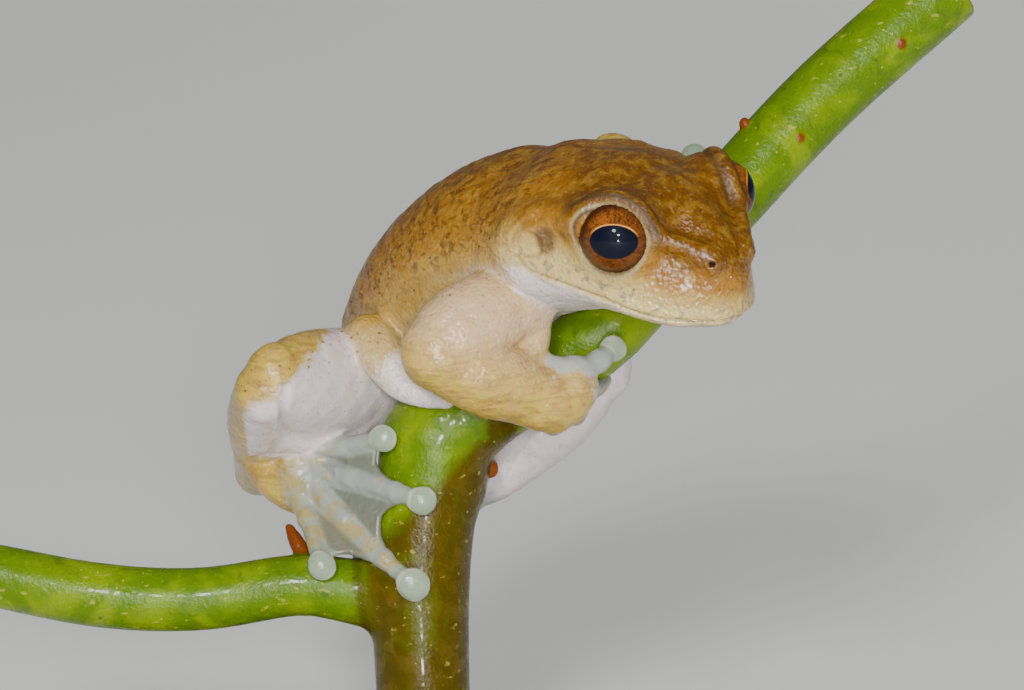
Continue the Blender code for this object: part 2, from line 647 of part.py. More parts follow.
def main():
    """Build every node of the model."""
    for old in list(bpy.data.objects):
        bpy.data.objects.remove(old)
    model = Model()
    shape_stand(model)
    shape_perch(model)
    pits = shape_body(model)
    shape_arm(model, "right", SHOULDER_R, ELBOW_R, WRIST_R, (2.4, 2.15, 1.9), (1.9, 2.25, 2.1, 1.65),
              PALM_R, FINGERS_R)
    shape_arm(model, "left", SHOULDER_L, ELBOW_L, WRIST_L, (2.1, 1.9, 1.7), (1.7, 2.4, 2.0, 1.6),
              PALM_L, FINGERS_L)
    shape_leg(model, "right", (HIP_R, KNEE_R, SHIN_R, HEEL_R, SOLE_R), (0, 0, 1),
              ((2.8, 3.0), (3.0, 3.6), (2.6, 3.4), (2.0, 2.6)),
              ((2.2, 2.2), (2.5, 2.5), (1.9, 1.9), (1.7, 1.7)), TOES_R, WEBS_R)
    shape_leg(model, "left", (HIP_L, KNEE_L, KNEE_L, HEEL_L, SOLE_L), (1, 0, 0),
              ((2.6, 2.6), (3.2, 3.0), (2.3, 2.3), (1.8, 1.8)),
              ((1.7, 1.7), (2.3, 2.1), (1.7, 1.7), (1.4, 1.4)), TOES_L, WEBS_L)
    model.finish("stand_base", (0.08, 0.08, 0.08), 0.4)
    model.finish("stand_rod", (0.6, 0.6, 0.62), 0.3)
    perch = ("perch_stem", "perch_upper", "perch_branch")
    model.finish("perch_stem", (0.2, 0.35, 0.05), 0.35)
    model.finish("perch_upper", (0.2, 0.4, 0.05), 0.35, ("perch_stem",))
    model.finish("perch_branch", (0.2, 0.35, 0.05), 0.35, ("perch_stem",))
    windows = [eye_window(side, model.forms) for side in (1, -1)]
    model.finish("eye_left", (0.2, 0.07, 0.03), 0.05)
    model.finish("eye_right", (0.2, 0.07, 0.03), 0.05)
    model.finish("head", (0.5, 0.3, 0.12), 0.4, perch + ("eye_left", "eye_right"),
                 windows + pits + [neck_block(False, model.forms)])
    model.finish("torso", (0.45, 0.28, 0.12), 0.4, perch, [neck_block(True, model.forms)])
    for side, across in (("right", ()), ("left", ("hand_right",))):
        clear = perch + ("torso",) + across
        for limb_part, colour in (("upper_arm", (0.6, 0.4, 0.3)), ("forearm", (0.6, 0.4, 0.2)),
                                  ("hand", (0.6, 0.65, 0.65))):
            model.finish(f"{limb_part}_{side}", colour, 0.4, clear)
            clear = clear + (f"{limb_part}_{side}",)
        clear = perch + ("torso",)
        for limb_part, colour in (("thigh", (0.6, 0.55, 0.5)), ("shank", (0.6, 0.55, 0.5)),
                                  ("ankle", (0.6, 0.55, 0.5)), ("foot", (0.6, 0.6, 0.6))):
            model.finish(f"{limb_part}_{side}", colour, 0.4, clear)
            clear = clear + (f"{limb_part}_{side}",)
    model.close()


main()
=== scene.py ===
"""Looks of a life-size still model of a stream tree frog on a forked plant stem, with stand, floor and light.

Shapes are worked out in millimetres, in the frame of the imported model, and become metres when their mesh is
made. The frog and its stem are each one closed skin: forms are blended by their distances and the surface is
drawn where the blended distance is zero.
"""

import logging
import math
from dataclasses import dataclass, field
from enum import Enum
from typing import Callable, Sequence

import bpy
import numpy as np
from mathutils import Euler, Matrix, Vector


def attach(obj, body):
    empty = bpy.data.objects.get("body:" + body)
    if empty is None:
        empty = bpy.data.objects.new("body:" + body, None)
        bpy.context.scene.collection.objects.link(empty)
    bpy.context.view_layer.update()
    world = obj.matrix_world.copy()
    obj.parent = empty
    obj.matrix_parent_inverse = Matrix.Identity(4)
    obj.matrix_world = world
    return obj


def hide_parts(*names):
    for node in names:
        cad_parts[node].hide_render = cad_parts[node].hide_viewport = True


METRES = 0.001
FAR = 9.0
TINY = 1e-6
FROG_PITCH = 0.125
PLANT_PITCH = 0.2

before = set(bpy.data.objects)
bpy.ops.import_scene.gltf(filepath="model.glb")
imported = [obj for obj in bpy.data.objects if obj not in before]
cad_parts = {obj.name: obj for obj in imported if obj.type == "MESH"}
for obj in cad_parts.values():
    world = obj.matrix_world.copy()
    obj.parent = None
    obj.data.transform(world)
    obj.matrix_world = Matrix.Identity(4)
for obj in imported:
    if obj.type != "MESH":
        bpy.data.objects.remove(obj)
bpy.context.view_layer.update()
log = logging.getLogger("frog")

Path = Sequence[Sequence[float]]
Point = tuple[float, float, float]
Colour = tuple[float, float, float]


def smooth_path(keys: Path, count: int) -> np.ndarray:
    """Samples a smooth curve through keys.

    Args:
        keys: Points of the curve, each with any further values such as a radius.
        count: Number of samples, at even steps along the curve.

    Returns:
        One row for each sample, with as many columns as a key.
    """
    rows = np.array(keys, float)
    hull = np.vstack([2 * rows[0] - rows[1], rows, 2 * rows[-1] - rows[-2]])
    t = np.linspace(0.0, 1.0, 16, endpoint=False)[:, None]
    fine = []
    for before, start, end, after in zip(hull, hull[1:], hull[2:], hull[3:]):
        bend = 2 * before - 5 * start + 4 * end - after
        twist = 3 * start - before - 3 * end + after
        fine.append(0.5 * (2 * start + (end - before) * t + bend * t ** 2 + twist * t ** 3))
    curve = np.vstack(fine + [rows[-1:]])
    run = np.concatenate([[0.0], np.cumsum(np.linalg.norm(np.diff(curve[:, :3], axis=0), axis=1))])
    even = np.linspace(0.0, run[-1], count)
    return np.stack([np.interp(even, run, curve[:, column]) for column in range(curve.shape[1])], axis=1)


def smooth_min(first: np.ndarray, second: np.ndarray, radius: float) -> np.ndarray:
    """Union of two distances with a fillet of about radius."""
    spread = np.maximum(radius - np.abs(first - second), 0.0) / radius
    return np.minimum(first, second) - spread * spread * radius * 0.25


def smooth_max(first: np.ndarray, second: np.ndarray, radius: float) -> np.ndarray:
    """Intersection of two distances with its edge rounded by about radius."""
    return -smooth_min(-first, -second, radius)


def ramp(values: np.ndarray, low: float, high: float) -> np.ndarray:
    """Eased step from 0 at low to 1 at high; it falls where low is above high."""
    share = np.clip((values - low) / (high - low), 0.0, 1.0)
    return share * share * (3.0 - 2.0 * share)


def unit(vector: Sequence[float]) -> np.ndarray:
    """The vector at length one."""
    array = np.array(vector, float)
    return array / np.linalg.norm(array)


def lengths(rows: np.ndarray) -> np.ndarray:
    """Length of each row."""
    return np.linalg.norm(rows, axis=1)


def bell(values: np.ndarray, middle: float | np.ndarray, width: float) -> np.ndarray:
    """Smooth bell, 1 at its middle."""
    return np.exp(-((values - middle) / width) ** 2)


@dataclass
class Axes:
    """A place and turn that shapes are drawn in."""

    origin: np.ndarray
    turn: np.ndarray

    @classmethod
    def from_angles(cls, origin: Point, degrees: Point) -> "Axes":
        """Axes at origin, turned by three angles in degrees about X, Y and Z."""
        euler = Euler([math.radians(angle) for angle in degrees])
        return cls(np.array(origin), np.array(euler.to_matrix()))

    def inward(self, points: np.ndarray) -> np.ndarray:
        """Model points in these axes."""
        return (points - self.origin) @ self.turn

    def folded(self, points: np.ndarray) -> np.ndarray:
        """Model points in these axes, with both sides laid onto positive y."""
        inner = self.inward(points)
        inner[:, 1] = np.abs(inner[:, 1])
        return inner

    def outward(self, points: np.ndarray) -> np.ndarray:
        """Points of these axes in the model's frame."""
        return np.asarray(points, float) @ self.turn.T + self.origin

    def outward_turn(self, vector: Sequence[float]) -> np.ndarray:
        """A direction of these axes in the model's frame."""
        return self.turn @ np.array(vector, float)


class Form:
    """A closed shape given by its distance, negative inside."""

    blend: float = 0.5

    def reach(self) -> tuple[np.ndarray, np.ndarray]:
        """Lowest and highest corner of the shape."""
        raise NotImplementedError

    def distance(self, points: np.ndarray) -> np.ndarray:
        """Distance of each point from the surface."""
        raise NotImplementedError


@dataclass
class Tube(Form):
    """A limb or stem along a smooth path, round or flattened.

    Attributes:
        keys: Rows of x, y, z and radius, or of x, y, z, half width and half depth.
        blend: Fillet where it meets what came before it.
        steps: Number of straight stretches.
        facing: Direction of the half depth.
    """

    keys: Path
    blend: float = 0.5
    steps: int = 12
    facing: Point = (0.0, 0.0, 1.0)

    def __post_init__(self) -> None:
        """Samples the path once."""
        self.path = smooth_path(self.keys, self.steps + 1)

    def reach(self) -> tuple[np.ndarray, np.ndarray]:
        """Lowest and highest corner of the tube."""
        radius = self.path[:, 3:].max(axis=1)[:, None]
        return (self.path[:, :3] - radius).min(axis=0), (self.path[:, :3] + radius).max(axis=0)

    def distance(self, points: np.ndarray) -> np.ndarray:
        """Distance to the nearest of the tube's stretches."""
        best = np.full(len(points), np.inf)
        result = np.full(len(points), FAR)
        facing = unit(self.facing)
        for start, end in zip(self.path, self.path[1:]):
            run = end[:3] - start[:3]
            offset = points - start[:3]
            share = np.clip(offset @ run / (run @ run), 0.0, 1.0)
            offset = offset - share[:, None] * run
            radius = start[3] + share * (end[3] - start[3])
            length = np.sqrt(np.einsum("ij,ij->i", offset, offset))
            if len(start) == 4:
                result = np.minimum(result, length - radius)
                continue
            depth = start[4] + share * (end[4] - start[4])
            raised = offset @ facing
            shape = np.sqrt(np.maximum(length ** 2 - raised ** 2, 0.0) / radius ** 2 + (raised / depth) ** 2)
            mean = np.sqrt(radius * depth)
            found = length < best - TINY
            best[found] = length[found]
            result[found] = ((shape - 1.0) * mean)[found]
        return result


@dataclass
class Ball(Form):
    """An ellipsoid with its radii along the columns of turn."""

    centre: Sequence[float]
    radii: Point
    blend: float = 0.5
    turn: np.ndarray = field(default_factory=lambda: np.eye(3))

    def reach(self) -> tuple[np.ndarray, np.ndarray]:
        """Lowest and highest corner of the ball that holds it."""
        return np.array(self.centre) - max(self.radii), np.array(self.centre) + max(self.radii)

    def distance(self, points: np.ndarray) -> np.ndarray:
        """Near distance, exact for a sphere."""
        inner = (points - np.array(self.centre)) @ self.turn / np.array(self.radii)
        size = lengths(inner) + TINY
        slope = lengths(inner / np.array(self.radii)) + TINY
        return size * (size - 1.0) / slope


def oval_distance(across: np.ndarray, along: np.ndarray, width: np.ndarray, height: np.ndarray,
                  fullness: float | np.ndarray) -> np.ndarray:
    """Near distance to a full oval section.

    Args:
        across: Offsets over the width, none negative.
        along: Offsets over the height, none negative.
        width: Half width of the section at each point.
        height: Half height of the section at each point.
        fullness: 2 for an ellipse, more for a squarer section.

    Returns:
        The distance of each point.
    """
    x, y = across / width, along / height
    size = (x ** fullness + y ** fullness) ** (1.0 / fullness) + TINY
    slope = np.hypot((x / size) ** (fullness - 1) / width, (y / size) ** (fullness - 1) / height) + TINY
    least_slope = 0.08
    return (size - 1.0) / np.maximum(slope, least_slope)


@dataclass
class Trunk(Form):
    """The frog's trunk: full oval sections along a bent spine.

    Attributes:
        axes: The frog's own axes.
        stations: Rows of x, z, half width, height above and depth below the spine.
        fullness: Fullness of the sections.
        dome: Length of the rounded vent.
        blend: Fillet.
    """

    axes: Axes
    stations: Path
    fullness: float = 2.15
    dome: float = 2.4
    blend: float = 1.0

    def __post_init__(self) -> None:
        """Samples the spine once."""
        self.spine = smooth_path([(x, z, 0.0, *rest) for x, z, *rest in self.stations], 41)

    def reach(self) -> tuple[np.ndarray, np.ndarray]:
        """Lowest and highest corner of a box round the trunk."""
        x, z = self.spine[:, 0], self.spine[:, 1]
        places = self.axes.outward(np.stack([x, 0 * x, z], axis=1))
        margin = self.spine[:, 3:].max() + self.dome
        return places.min(axis=0) - margin, places.max(axis=0) + margin

    def section(self, inner: np.ndarray) -> tuple[np.ndarray, np.ndarray, np.ndarray]:
        """Where points of the frog's axes lie against the spine.

        Args:
            inner: Points in the frog's axes.

        Returns:
            The height over the spine, the overshoot past its rear end, and the section's three sizes.
        """
        flat = inner[:, [0, 2]]
        nearest = np.full(len(flat), np.inf)
        height = np.zeros(len(flat))
        past = np.zeros(len(flat))
        sizes = np.ones((len(flat), 3))
        last = len(self.spine) - 2
        for index, (start, end) in enumerate(zip(self.spine, self.spine[1:])):
            run = end[:2] - start[:2]
            length = math.hypot(*run)
            offset = flat - start[:2]
            raw = offset @ run / length ** 2
            share = np.clip(raw, 0.0, 1.0)
            gap = offset - share[:, None] * run
            square = gap[:, 0] ** 2 + gap[:, 1] ** 2
            found = square < nearest
            nearest[found] = square[found]
            side = (offset[:, 0] * run[1] - offset[:, 1] * run[0]) / length
            height[found] = side[found]
            over = np.maximum(raw - 1.0, 0.0) * length if index == last else np.zeros(len(flat))
            over = over + (np.maximum(-raw, 0.0) * length if index == 0 else 0.0)
            past[found] = over[found]
            sizes[found] = (start[3:] + share[:, None] * (end[3:] - start[3:]))[found]
        return height, past, sizes

    def distance(self, points: np.ndarray) -> np.ndarray:
        """Distance to the trunk's surface."""
        inner = self.axes.inward(points)
        height, past, sizes = self.section(inner)
        tall = np.where(height > 0, sizes[:, 1], sizes[:, 2])
        shrink = np.sqrt(np.maximum(1.0 - (past / self.dome) ** 2, 0.02))
        body = oval_distance(np.abs(inner[:, 1]), np.abs(height), sizes[:, 0] * shrink, tall * shrink,
                             self.fullness)
        return np.maximum(body, past - self.dome)


@dataclass
class Head(Form):
    """Skull and jaws, with the lips, the line of the mouth and the snout's fan of sections.

    Attributes:
        axes: The frog's own axes.
        outline: Rows of x and y round the lip, from the snout to the jaw's corner.
        crown: Rows of x and height of the top.
        throat: Rows of x and height of the underside.
        mouth: Rows of x and height of the mouth's line.
        corner: x of the mouth's corner.
        pivot: x where the sections start to fan out.
        fan: How far their axis moves on with the lip.
        groove: Depth and half height of the mouth's line.
        lips: Rise, offset and half height of the lips' edges.
        overbite: How far the upper lip stands out past the lower.
        rear: x where the head ends inside the trunk.
        rear_round: Rounding of that end.
        blend: Fillet.
    """

    axes: Axes
    outline: Path
    crown: Path
    throat: Path
    mouth: Path
    corner: float = -5.6
    pivot: float = 2.8
    fan: float = 0.45
    groove: tuple[float, float] = (0.42, 0.13)
    lips: tuple[float, float, float] = (0.1, 0.42, 0.3)
    overbite: float = 0.35
    rear: float = -9.6
    rear_round: float = 3.5
    blend: float = 3.2

    def __post_init__(self) -> None:
        """Works out which section of the fan holds each place on a fine grid of x and y."""
        self.step = 0.1
        self.low_x = -14.0
        lip = smooth_path([(x, y, 0.0) for x, y in self.outline], 500)[:, :2]
        root = np.where(lip[:, 0] > self.pivot, self.pivot + (lip[:, 0] - self.pivot) * self.fan, lip[:, 0])
        out = lip - np.stack([root, np.zeros(len(root))], axis=1)
        size = np.linalg.norm(out, axis=1)
        out = out / size[:, None]
        high = 11.0
        x, y = np.meshgrid(np.arange(self.low_x, high, self.step), np.arange(0.0, high, self.step),
                           indexing="ij")
        best = np.full(x.shape, np.inf)
        self.table = np.zeros((5, *x.shape))
        crown, throat, mouth = (np.array(sorted(rows)).T for rows in (self.crown, self.throat, self.mouth))
        for index in range(len(lip)):
            ahead = (x - root[index]) * out[index, 0] + y * out[index, 1]
            aside = np.abs((x - root[index]) * out[index, 1] - y * out[index, 0])
            aside[ahead < -0.01] += 50.0
            found = aside < best
            best[found] = aside[found]
            self.table[0][found] = ahead[found]
            values = (size[index], np.interp(root[index], *crown), np.interp(root[index], *throat),
                      np.interp(lip[index, 0], *mouth))
            for row, value in enumerate(values, 1):
                self.table[row][found] = value

    def reach(self) -> tuple[np.ndarray, np.ndarray]:
        """Lowest and highest corner of a box round the head."""
        corners = [(x, y, z) for x in (-11.0, 7.5) for y in (-7.6, 7.6) for z in (-9.0, 3.0)]
        places = self.axes.outward(np.array(corners))
        return places.min(axis=0), places.max(axis=0)

    def look_up(self, inner: np.ndarray) -> np.ndarray:
        """Reads the fan's table between its grid points: offset, reach, crown, throat and mouth."""
        u = np.clip((inner[:, 0] - self.low_x) / self.step, 0, self.table.shape[1] - 1.001)
        v = np.clip(np.abs(inner[:, 1]) / self.step, 0, self.table.shape[2] - 1.001)
        i, j = u.astype(int), v.astype(int)
        s, t = u - i, v - j
        rows = self.table
        return (rows[:, i, j] * (1 - s) * (1 - t) + rows[:, i + 1, j] * s * (1 - t)
                + rows[:, i, j + 1] * (1 - s) * t + rows[:, i + 1, j + 1] * s * t)

    def distance(self, points: np.ndarray) -> np.ndarray:
        """Distance to the head's surface, mouth and lips included."""
        inner = self.axes.inward(points)
        offset, size, crown, throat, mouth = self.look_up(inner)
        across = np.maximum(offset, 0.0)
        rise = inner[:, 2] - mouth
        fullness = 2.2 - 0.5 * ramp(inner[:, 0], -0.5, 3.0)
        upper = oval_distance(across, np.maximum(rise, 0.0), size, crown - mouth, fullness)
        lower = oval_distance(across, np.maximum(-rise, 0.0), size - self.overbite, mouth - throat, 2.1)
        body = np.where(rise > 0, upper, lower)
        open_share = ramp(inner[:, 0], self.corner - 0.5, self.corner + 0.8) * ramp(offset / size, 0.75, 0.9)
        depth, half = self.groove
        roll, away, broad = self.lips
        body = body + open_share * depth * bell(rise, 0.0, half)
        body = body - open_share * roll * (bell(rise, away, broad) + 0.8 * bell(rise, -away, broad))
        return smooth_max(body, self.rear - inner[:, 0], self.rear_round)


@dataclass
class Group:
    """Forms that belong together, such as one arm, and the fillet with what came before.

    Attributes:
        name: Plain name of the group.
        forms: The shapes, each blended with those before it.
        blend: Fillet between this group and the ones before it.
        margin: How far past its fillet a form is still worked out.
    """

    name: str
    forms: list[Form]
    blend: float = 0.3
    margin: float = 1.5

    def distance(self, points: np.ndarray) -> np.ndarray:
        """Blended distance of the group's forms, far where no form is near."""
        result = np.full(len(points), FAR)
        for form in self.forms:
            low, high = form.reach()
            margin = form.blend + self.margin
            near = np.all((points > low - margin) & (points < high + margin), axis=1)
            if near.any():
                result[near] = smooth_min(result[near], form.distance(points[near]), form.blend)
        return result


@dataclass
class Body:
    """Groups blended into one closed skin, less what is carved out of them.

    Attributes:
        groups: The groups in order.
        carves: Functions that take points and the distance so far, and return the carved distance.
    """

    groups: list[Group]
    carves: list[Callable[[np.ndarray, np.ndarray], np.ndarray]] = field(default_factory=list)

    def reach(self) -> tuple[np.ndarray, np.ndarray]:
        """Lowest and highest corner of all forms."""
        boxes = [form.reach() for group in self.groups for form in group.forms]
        return np.min([low for low, _ in boxes], axis=0), np.max([high for _, high in boxes], axis=0)

    def distance(self, points: np.ndarray) -> np.ndarray:
        """Distance of each point from the finished skin."""
        result = np.full(len(points), FAR)
        for group in self.groups:
            result = smooth_min(result, group.distance(points), group.blend)
        for carve in self.carves:
            result = carve(points, result)
        return result


@dataclass
class SkinMesher:
    """Draws the surface where a body's distance is zero, as one closed mesh.

    Attributes:
        pitch: Grid spacing in millimetres.
        block: Grid points along the side of one block.
        rounds: Rounds of smoothing.
        settlings: How often vertices are moved onto the surface.
        batch: Most points whose distance is worked out at once.
    """

    pitch: float
    block: int = 6
    rounds: int = 3
    settlings: int = 2
    batch: int = 194400

    def fill(self, body: Body) -> tuple[np.ndarray, np.ndarray]:
        """Evaluates the distance on a grid, finely only near the surface.

        Args:
            body: The body to draw.

        Returns:
            The grid of distances and the place of its first point.
        """
        low, high = body.reach()
        low = low - 4 * self.pitch
        count = np.ceil((high + 4 * self.pitch - low) / self.pitch / self.block).astype(int)
        side = self.block * self.pitch
        centres = self.lattice(count)
        values = self.in_chunks(body, low + (centres + 0.5) * side - self.pitch / 2)
        grid = np.kron(values.reshape(count), np.ones([self.block] * 3))
        half_diagonal, blend_margin = side * 0.87, 0.55
        active = centres[np.abs(values) < half_diagonal + blend_margin]
        inside = self.lattice([self.block] * 3)
        cells = (active[:, None, :] * self.block + inside[None, :, :]).reshape(-1, 3)
        fine = self.in_chunks(body, low + cells * self.pitch)
        grid[cells[:, 0], cells[:, 1], cells[:, 2]] = fine
        return grid.astype(np.float32), low

    @staticmethod
    def lattice(count: Sequence[int]) -> np.ndarray:
        """All places of a grid with this many along each axis, as rows of whole numbers."""
        return np.stack(np.meshgrid(*[np.arange(n) for n in count], indexing="ij"), axis=-1).reshape(-1, 3)

    def in_chunks(self, body: Body, points: np.ndarray) -> np.ndarray:
        """Distances of many points, a part at a time."""
        starts = range(0, len(points), self.batch)
        return np.concatenate([body.distance(points[start:start + self.batch]) for start in starts])

    def surface(self, grid: np.ndarray) -> tuple[np.ndarray, np.ndarray]:
        """Puts a vertex in each cell that the surface crosses, and a face over each crossed edge.

        Args:
            grid: The grid of distances.

        Returns:
            Vertices in grid steps and four-sided faces.
        """
        inside = grid < 0
        corners = [(i, j, k) for i in (0, 1) for j in (0, 1) for k in (0, 1)]
        shape = np.array(grid.shape) - 1
        total = np.zeros(shape, np.uint8)
        for i, j, k in corners:
            total += inside[i:i + shape[0], j:j + shape[1], k:k + shape[2]]
        cells = np.argwhere((total > 0) & (total < 8))
        crossing = np.zeros((len(cells), 3))
        crossed = np.zeros(len(cells))
        for corner in corners:
            for axis in range(3):
                if corner[axis]:
                    continue
                other = list(corner)
                other[axis] = 1
                first = grid[tuple((cells + corner).T)]
                second = grid[tuple((cells + other).T)]
                cut = (first < 0) != (second < 0)
                share = np.where(cut, first / np.where(cut, first - second, 1.0), 0.0)
                place = np.array(corner, float) + share[:, None] * (np.array(other) - corner)
                crossing += place * cut[:, None]
                crossed += cut
        vertices = cells + crossing / crossed[:, None]
        stride = np.array([shape[1] * shape[2], shape[2], 1])
        keys = cells @ stride
        faces = []
        for axis in range(3):
            others = [index for index in range(3) if index != axis]
            first = inside.take(range(shape[axis]), axis)
            second = inside.take(range(1, shape[axis] + 1), axis)
            for found, outward in ((first & ~second, True), (~first & second, False)):
                nodes = np.argwhere(found)
                sideways = nodes[:, others]
                nodes = nodes[(sideways > 0).all(axis=1) & (sideways < shape[others]).all(axis=1)]
                key = nodes @ stride
                a, b = stride[others[0]], stride[others[1]]
                ring = [key - a - b, key - b, key, key - a]
                if outward == (axis == 1):
                    ring.reverse()
                faces.append(np.stack([np.searchsorted(keys, corner) for corner in ring], axis=1))
        return vertices, np.concatenate(faces)

    def smooth(self, vertices: np.ndarray, faces: np.ndarray) -> np.ndarray:
        """Evens out the grid's steps without shrinking the shape."""
        ends, starts = np.concatenate([faces[:, [corner, (corner + 1) % 4]] for corner in range(4)]).T
        total = len(vertices)
        count = np.bincount(ends, minlength=total)[:, None]
        shrink, swell = 0.6, -0.62
        for factor in (shrink, swell) * self.rounds:
            around = np.stack([np.bincount(ends, vertices[starts, axis], total) for axis in range(3)], axis=1)
            vertices = vertices + factor * (around / count - vertices)
        return vertices

    def draw(self, body: Body) -> tuple[np.ndarray, np.ndarray]:
        """Vertices in millimetres and faces of the body's skin."""
        grid, low = self.fill(body)
        vertices, faces = self.surface(grid)
        vertices = low + vertices * self.pitch
        for _ in range(self.settlings):
            vertices = self.settle(body, vertices)
        return self.smooth(vertices, faces), faces

    def settle(self, body: Body, vertices: np.ndarray) -> np.ndarray:
        """Moves vertices onto the surface along its slope, by less than a grid step."""
        value = self.in_chunks(body, vertices)
        small = self.pitch * 0.4
        rises = [self.in_chunks(body, vertices + small * way) - value for way in np.eye(3)]
        slope = np.stack(rises, axis=1) / small
        least_square = 0.25
        size = np.maximum(np.einsum("ij,ij->i", slope, slope), least_square)
        step = slope * (value / size)[:, None]
        longest = 0.5 * self.pitch
        return vertices - step * np.minimum(1.0, longest / np.maximum(lengths(step), TINY))[:, None]


def make_mesh(name: str, vertices: np.ndarray, faces: np.ndarray | list,
              masks: dict[str, np.ndarray] | None = None) -> bpy.types.Object:
    """Makes a smooth mesh object.

    Args:
        name: Name of the piece.
        vertices: Points in millimetres.
        faces: Rows of vertex numbers.
        masks: Values for each vertex that the finish reads, by name.

    Returns:
        The new object, linked to the scene.
    """
    mesh = bpy.data.meshes.new(name)
    mesh.from_pydata(np.asarray(vertices) * METRES, [], faces)
    for mask, values in (masks or {}).items():
        mesh.attributes.new(mask, "FLOAT", "POINT").data.foreach_set("value", np.asarray(values, np.float32))
    mesh.shade_smooth()
    mesh.update()
    made = bpy.data.objects.new(name, mesh)
    bpy.context.scene.collection.objects.link(made)
    return made


def lathe_rows(profile: Sequence[tuple[float, float]], around: int) -> list[Point]:
    """Rings of points round the z axis, one for each radius and height of the profile."""
    turns = [2 * math.pi * n / around for n in range(around)]
    return [(radius * math.cos(turn), radius * math.sin(turn), height) for radius, height in profile
            for turn in turns]


def lathe_faces(rings: int, around: int, closed: bool) -> list[tuple[int, int, int, int]]:
    """Faces between the rings in order, and also from the last ring to the first where closed."""
    faces = []
    for ring in range(rings if closed else rings - 1):
        start, following = ring * around, (ring + 1) % rings * around
        for n in range(around):
            beside = (n + 1) % around
            faces.append((start + n, following + n, following + beside, start + beside))
    return faces


def vertex_normals(vertices: np.ndarray, faces: np.ndarray) -> np.ndarray:
    """Unit normals of a mesh with four-sided faces."""
    a, b, c, d = (vertices[faces[:, corner]] for corner in range(4))
    cross = np.cross(c - a, d - b)
    total = np.zeros_like(vertices)
    for corner in range(4):
        for axis in range(3):
            total[:, axis] += np.bincount(faces[:, corner], cross[:, axis], len(vertices))
    return total / np.maximum(lengths(total), 1e-12)[:, None]


class Sock:
    """A number that comes out of a shader node, with the usual operators."""

    def __init__(self, shader: "Shader", out: bpy.types.NodeSocket) -> None:
        """Keeps the shader and the socket."""
        self.shader = shader
        self.out = out

    def math(self, operation: str, *others: "Sock | float", first: "Sock | float | None" = None) -> "Sock":
        """A Math node of this number and the others, or with another number put first."""
        values = (self, *others) if first is None else (first, self)
        return self.shader.node("ShaderNodeMath", {"operation": operation}, dict(enumerate(values)))

    def __add__(self, other: "Sock | float") -> "Sock":
        """Sum."""
        return self.math("ADD", other)

    def __radd__(self, other: float) -> "Sock":
        """Sum with a plain number first."""
        return self.math("ADD", first=other)

    def __sub__(self, other: "Sock | float") -> "Sock":
        """Difference."""
        return self.math("SUBTRACT", other)

    def __rsub__(self, other: float) -> "Sock":
        """Difference from a plain number."""
        return self.math("SUBTRACT", first=other)

    def __mul__(self, other: "Sock | float") -> "Sock":
        """Product."""
        return self.math("MULTIPLY", other)

    def __rmul__(self, other: float) -> "Sock":
        """Product with a plain number first."""
        return self.math("MULTIPLY", first=other)

    def __truediv__(self, other: "Sock | float") -> "Sock":
        """Quotient."""
        return self.math("DIVIDE", other)

    def step(self, low: float, high: float) -> "Sock":
        """Eased step from 0 at low to 1 at high; it falls where low is above high."""
        rising = low < high
        span = (low, high) if rising else (high, low)
        ends = (0.0, 1.0) if rising else (1.0, 0.0)
        return self.shader.node("ShaderNodeMapRange", {"interpolation_type": "SMOOTHSTEP"},
                                {0: self, 1: span[0], 2: span[1], 3: ends[0], 4: ends[1]})


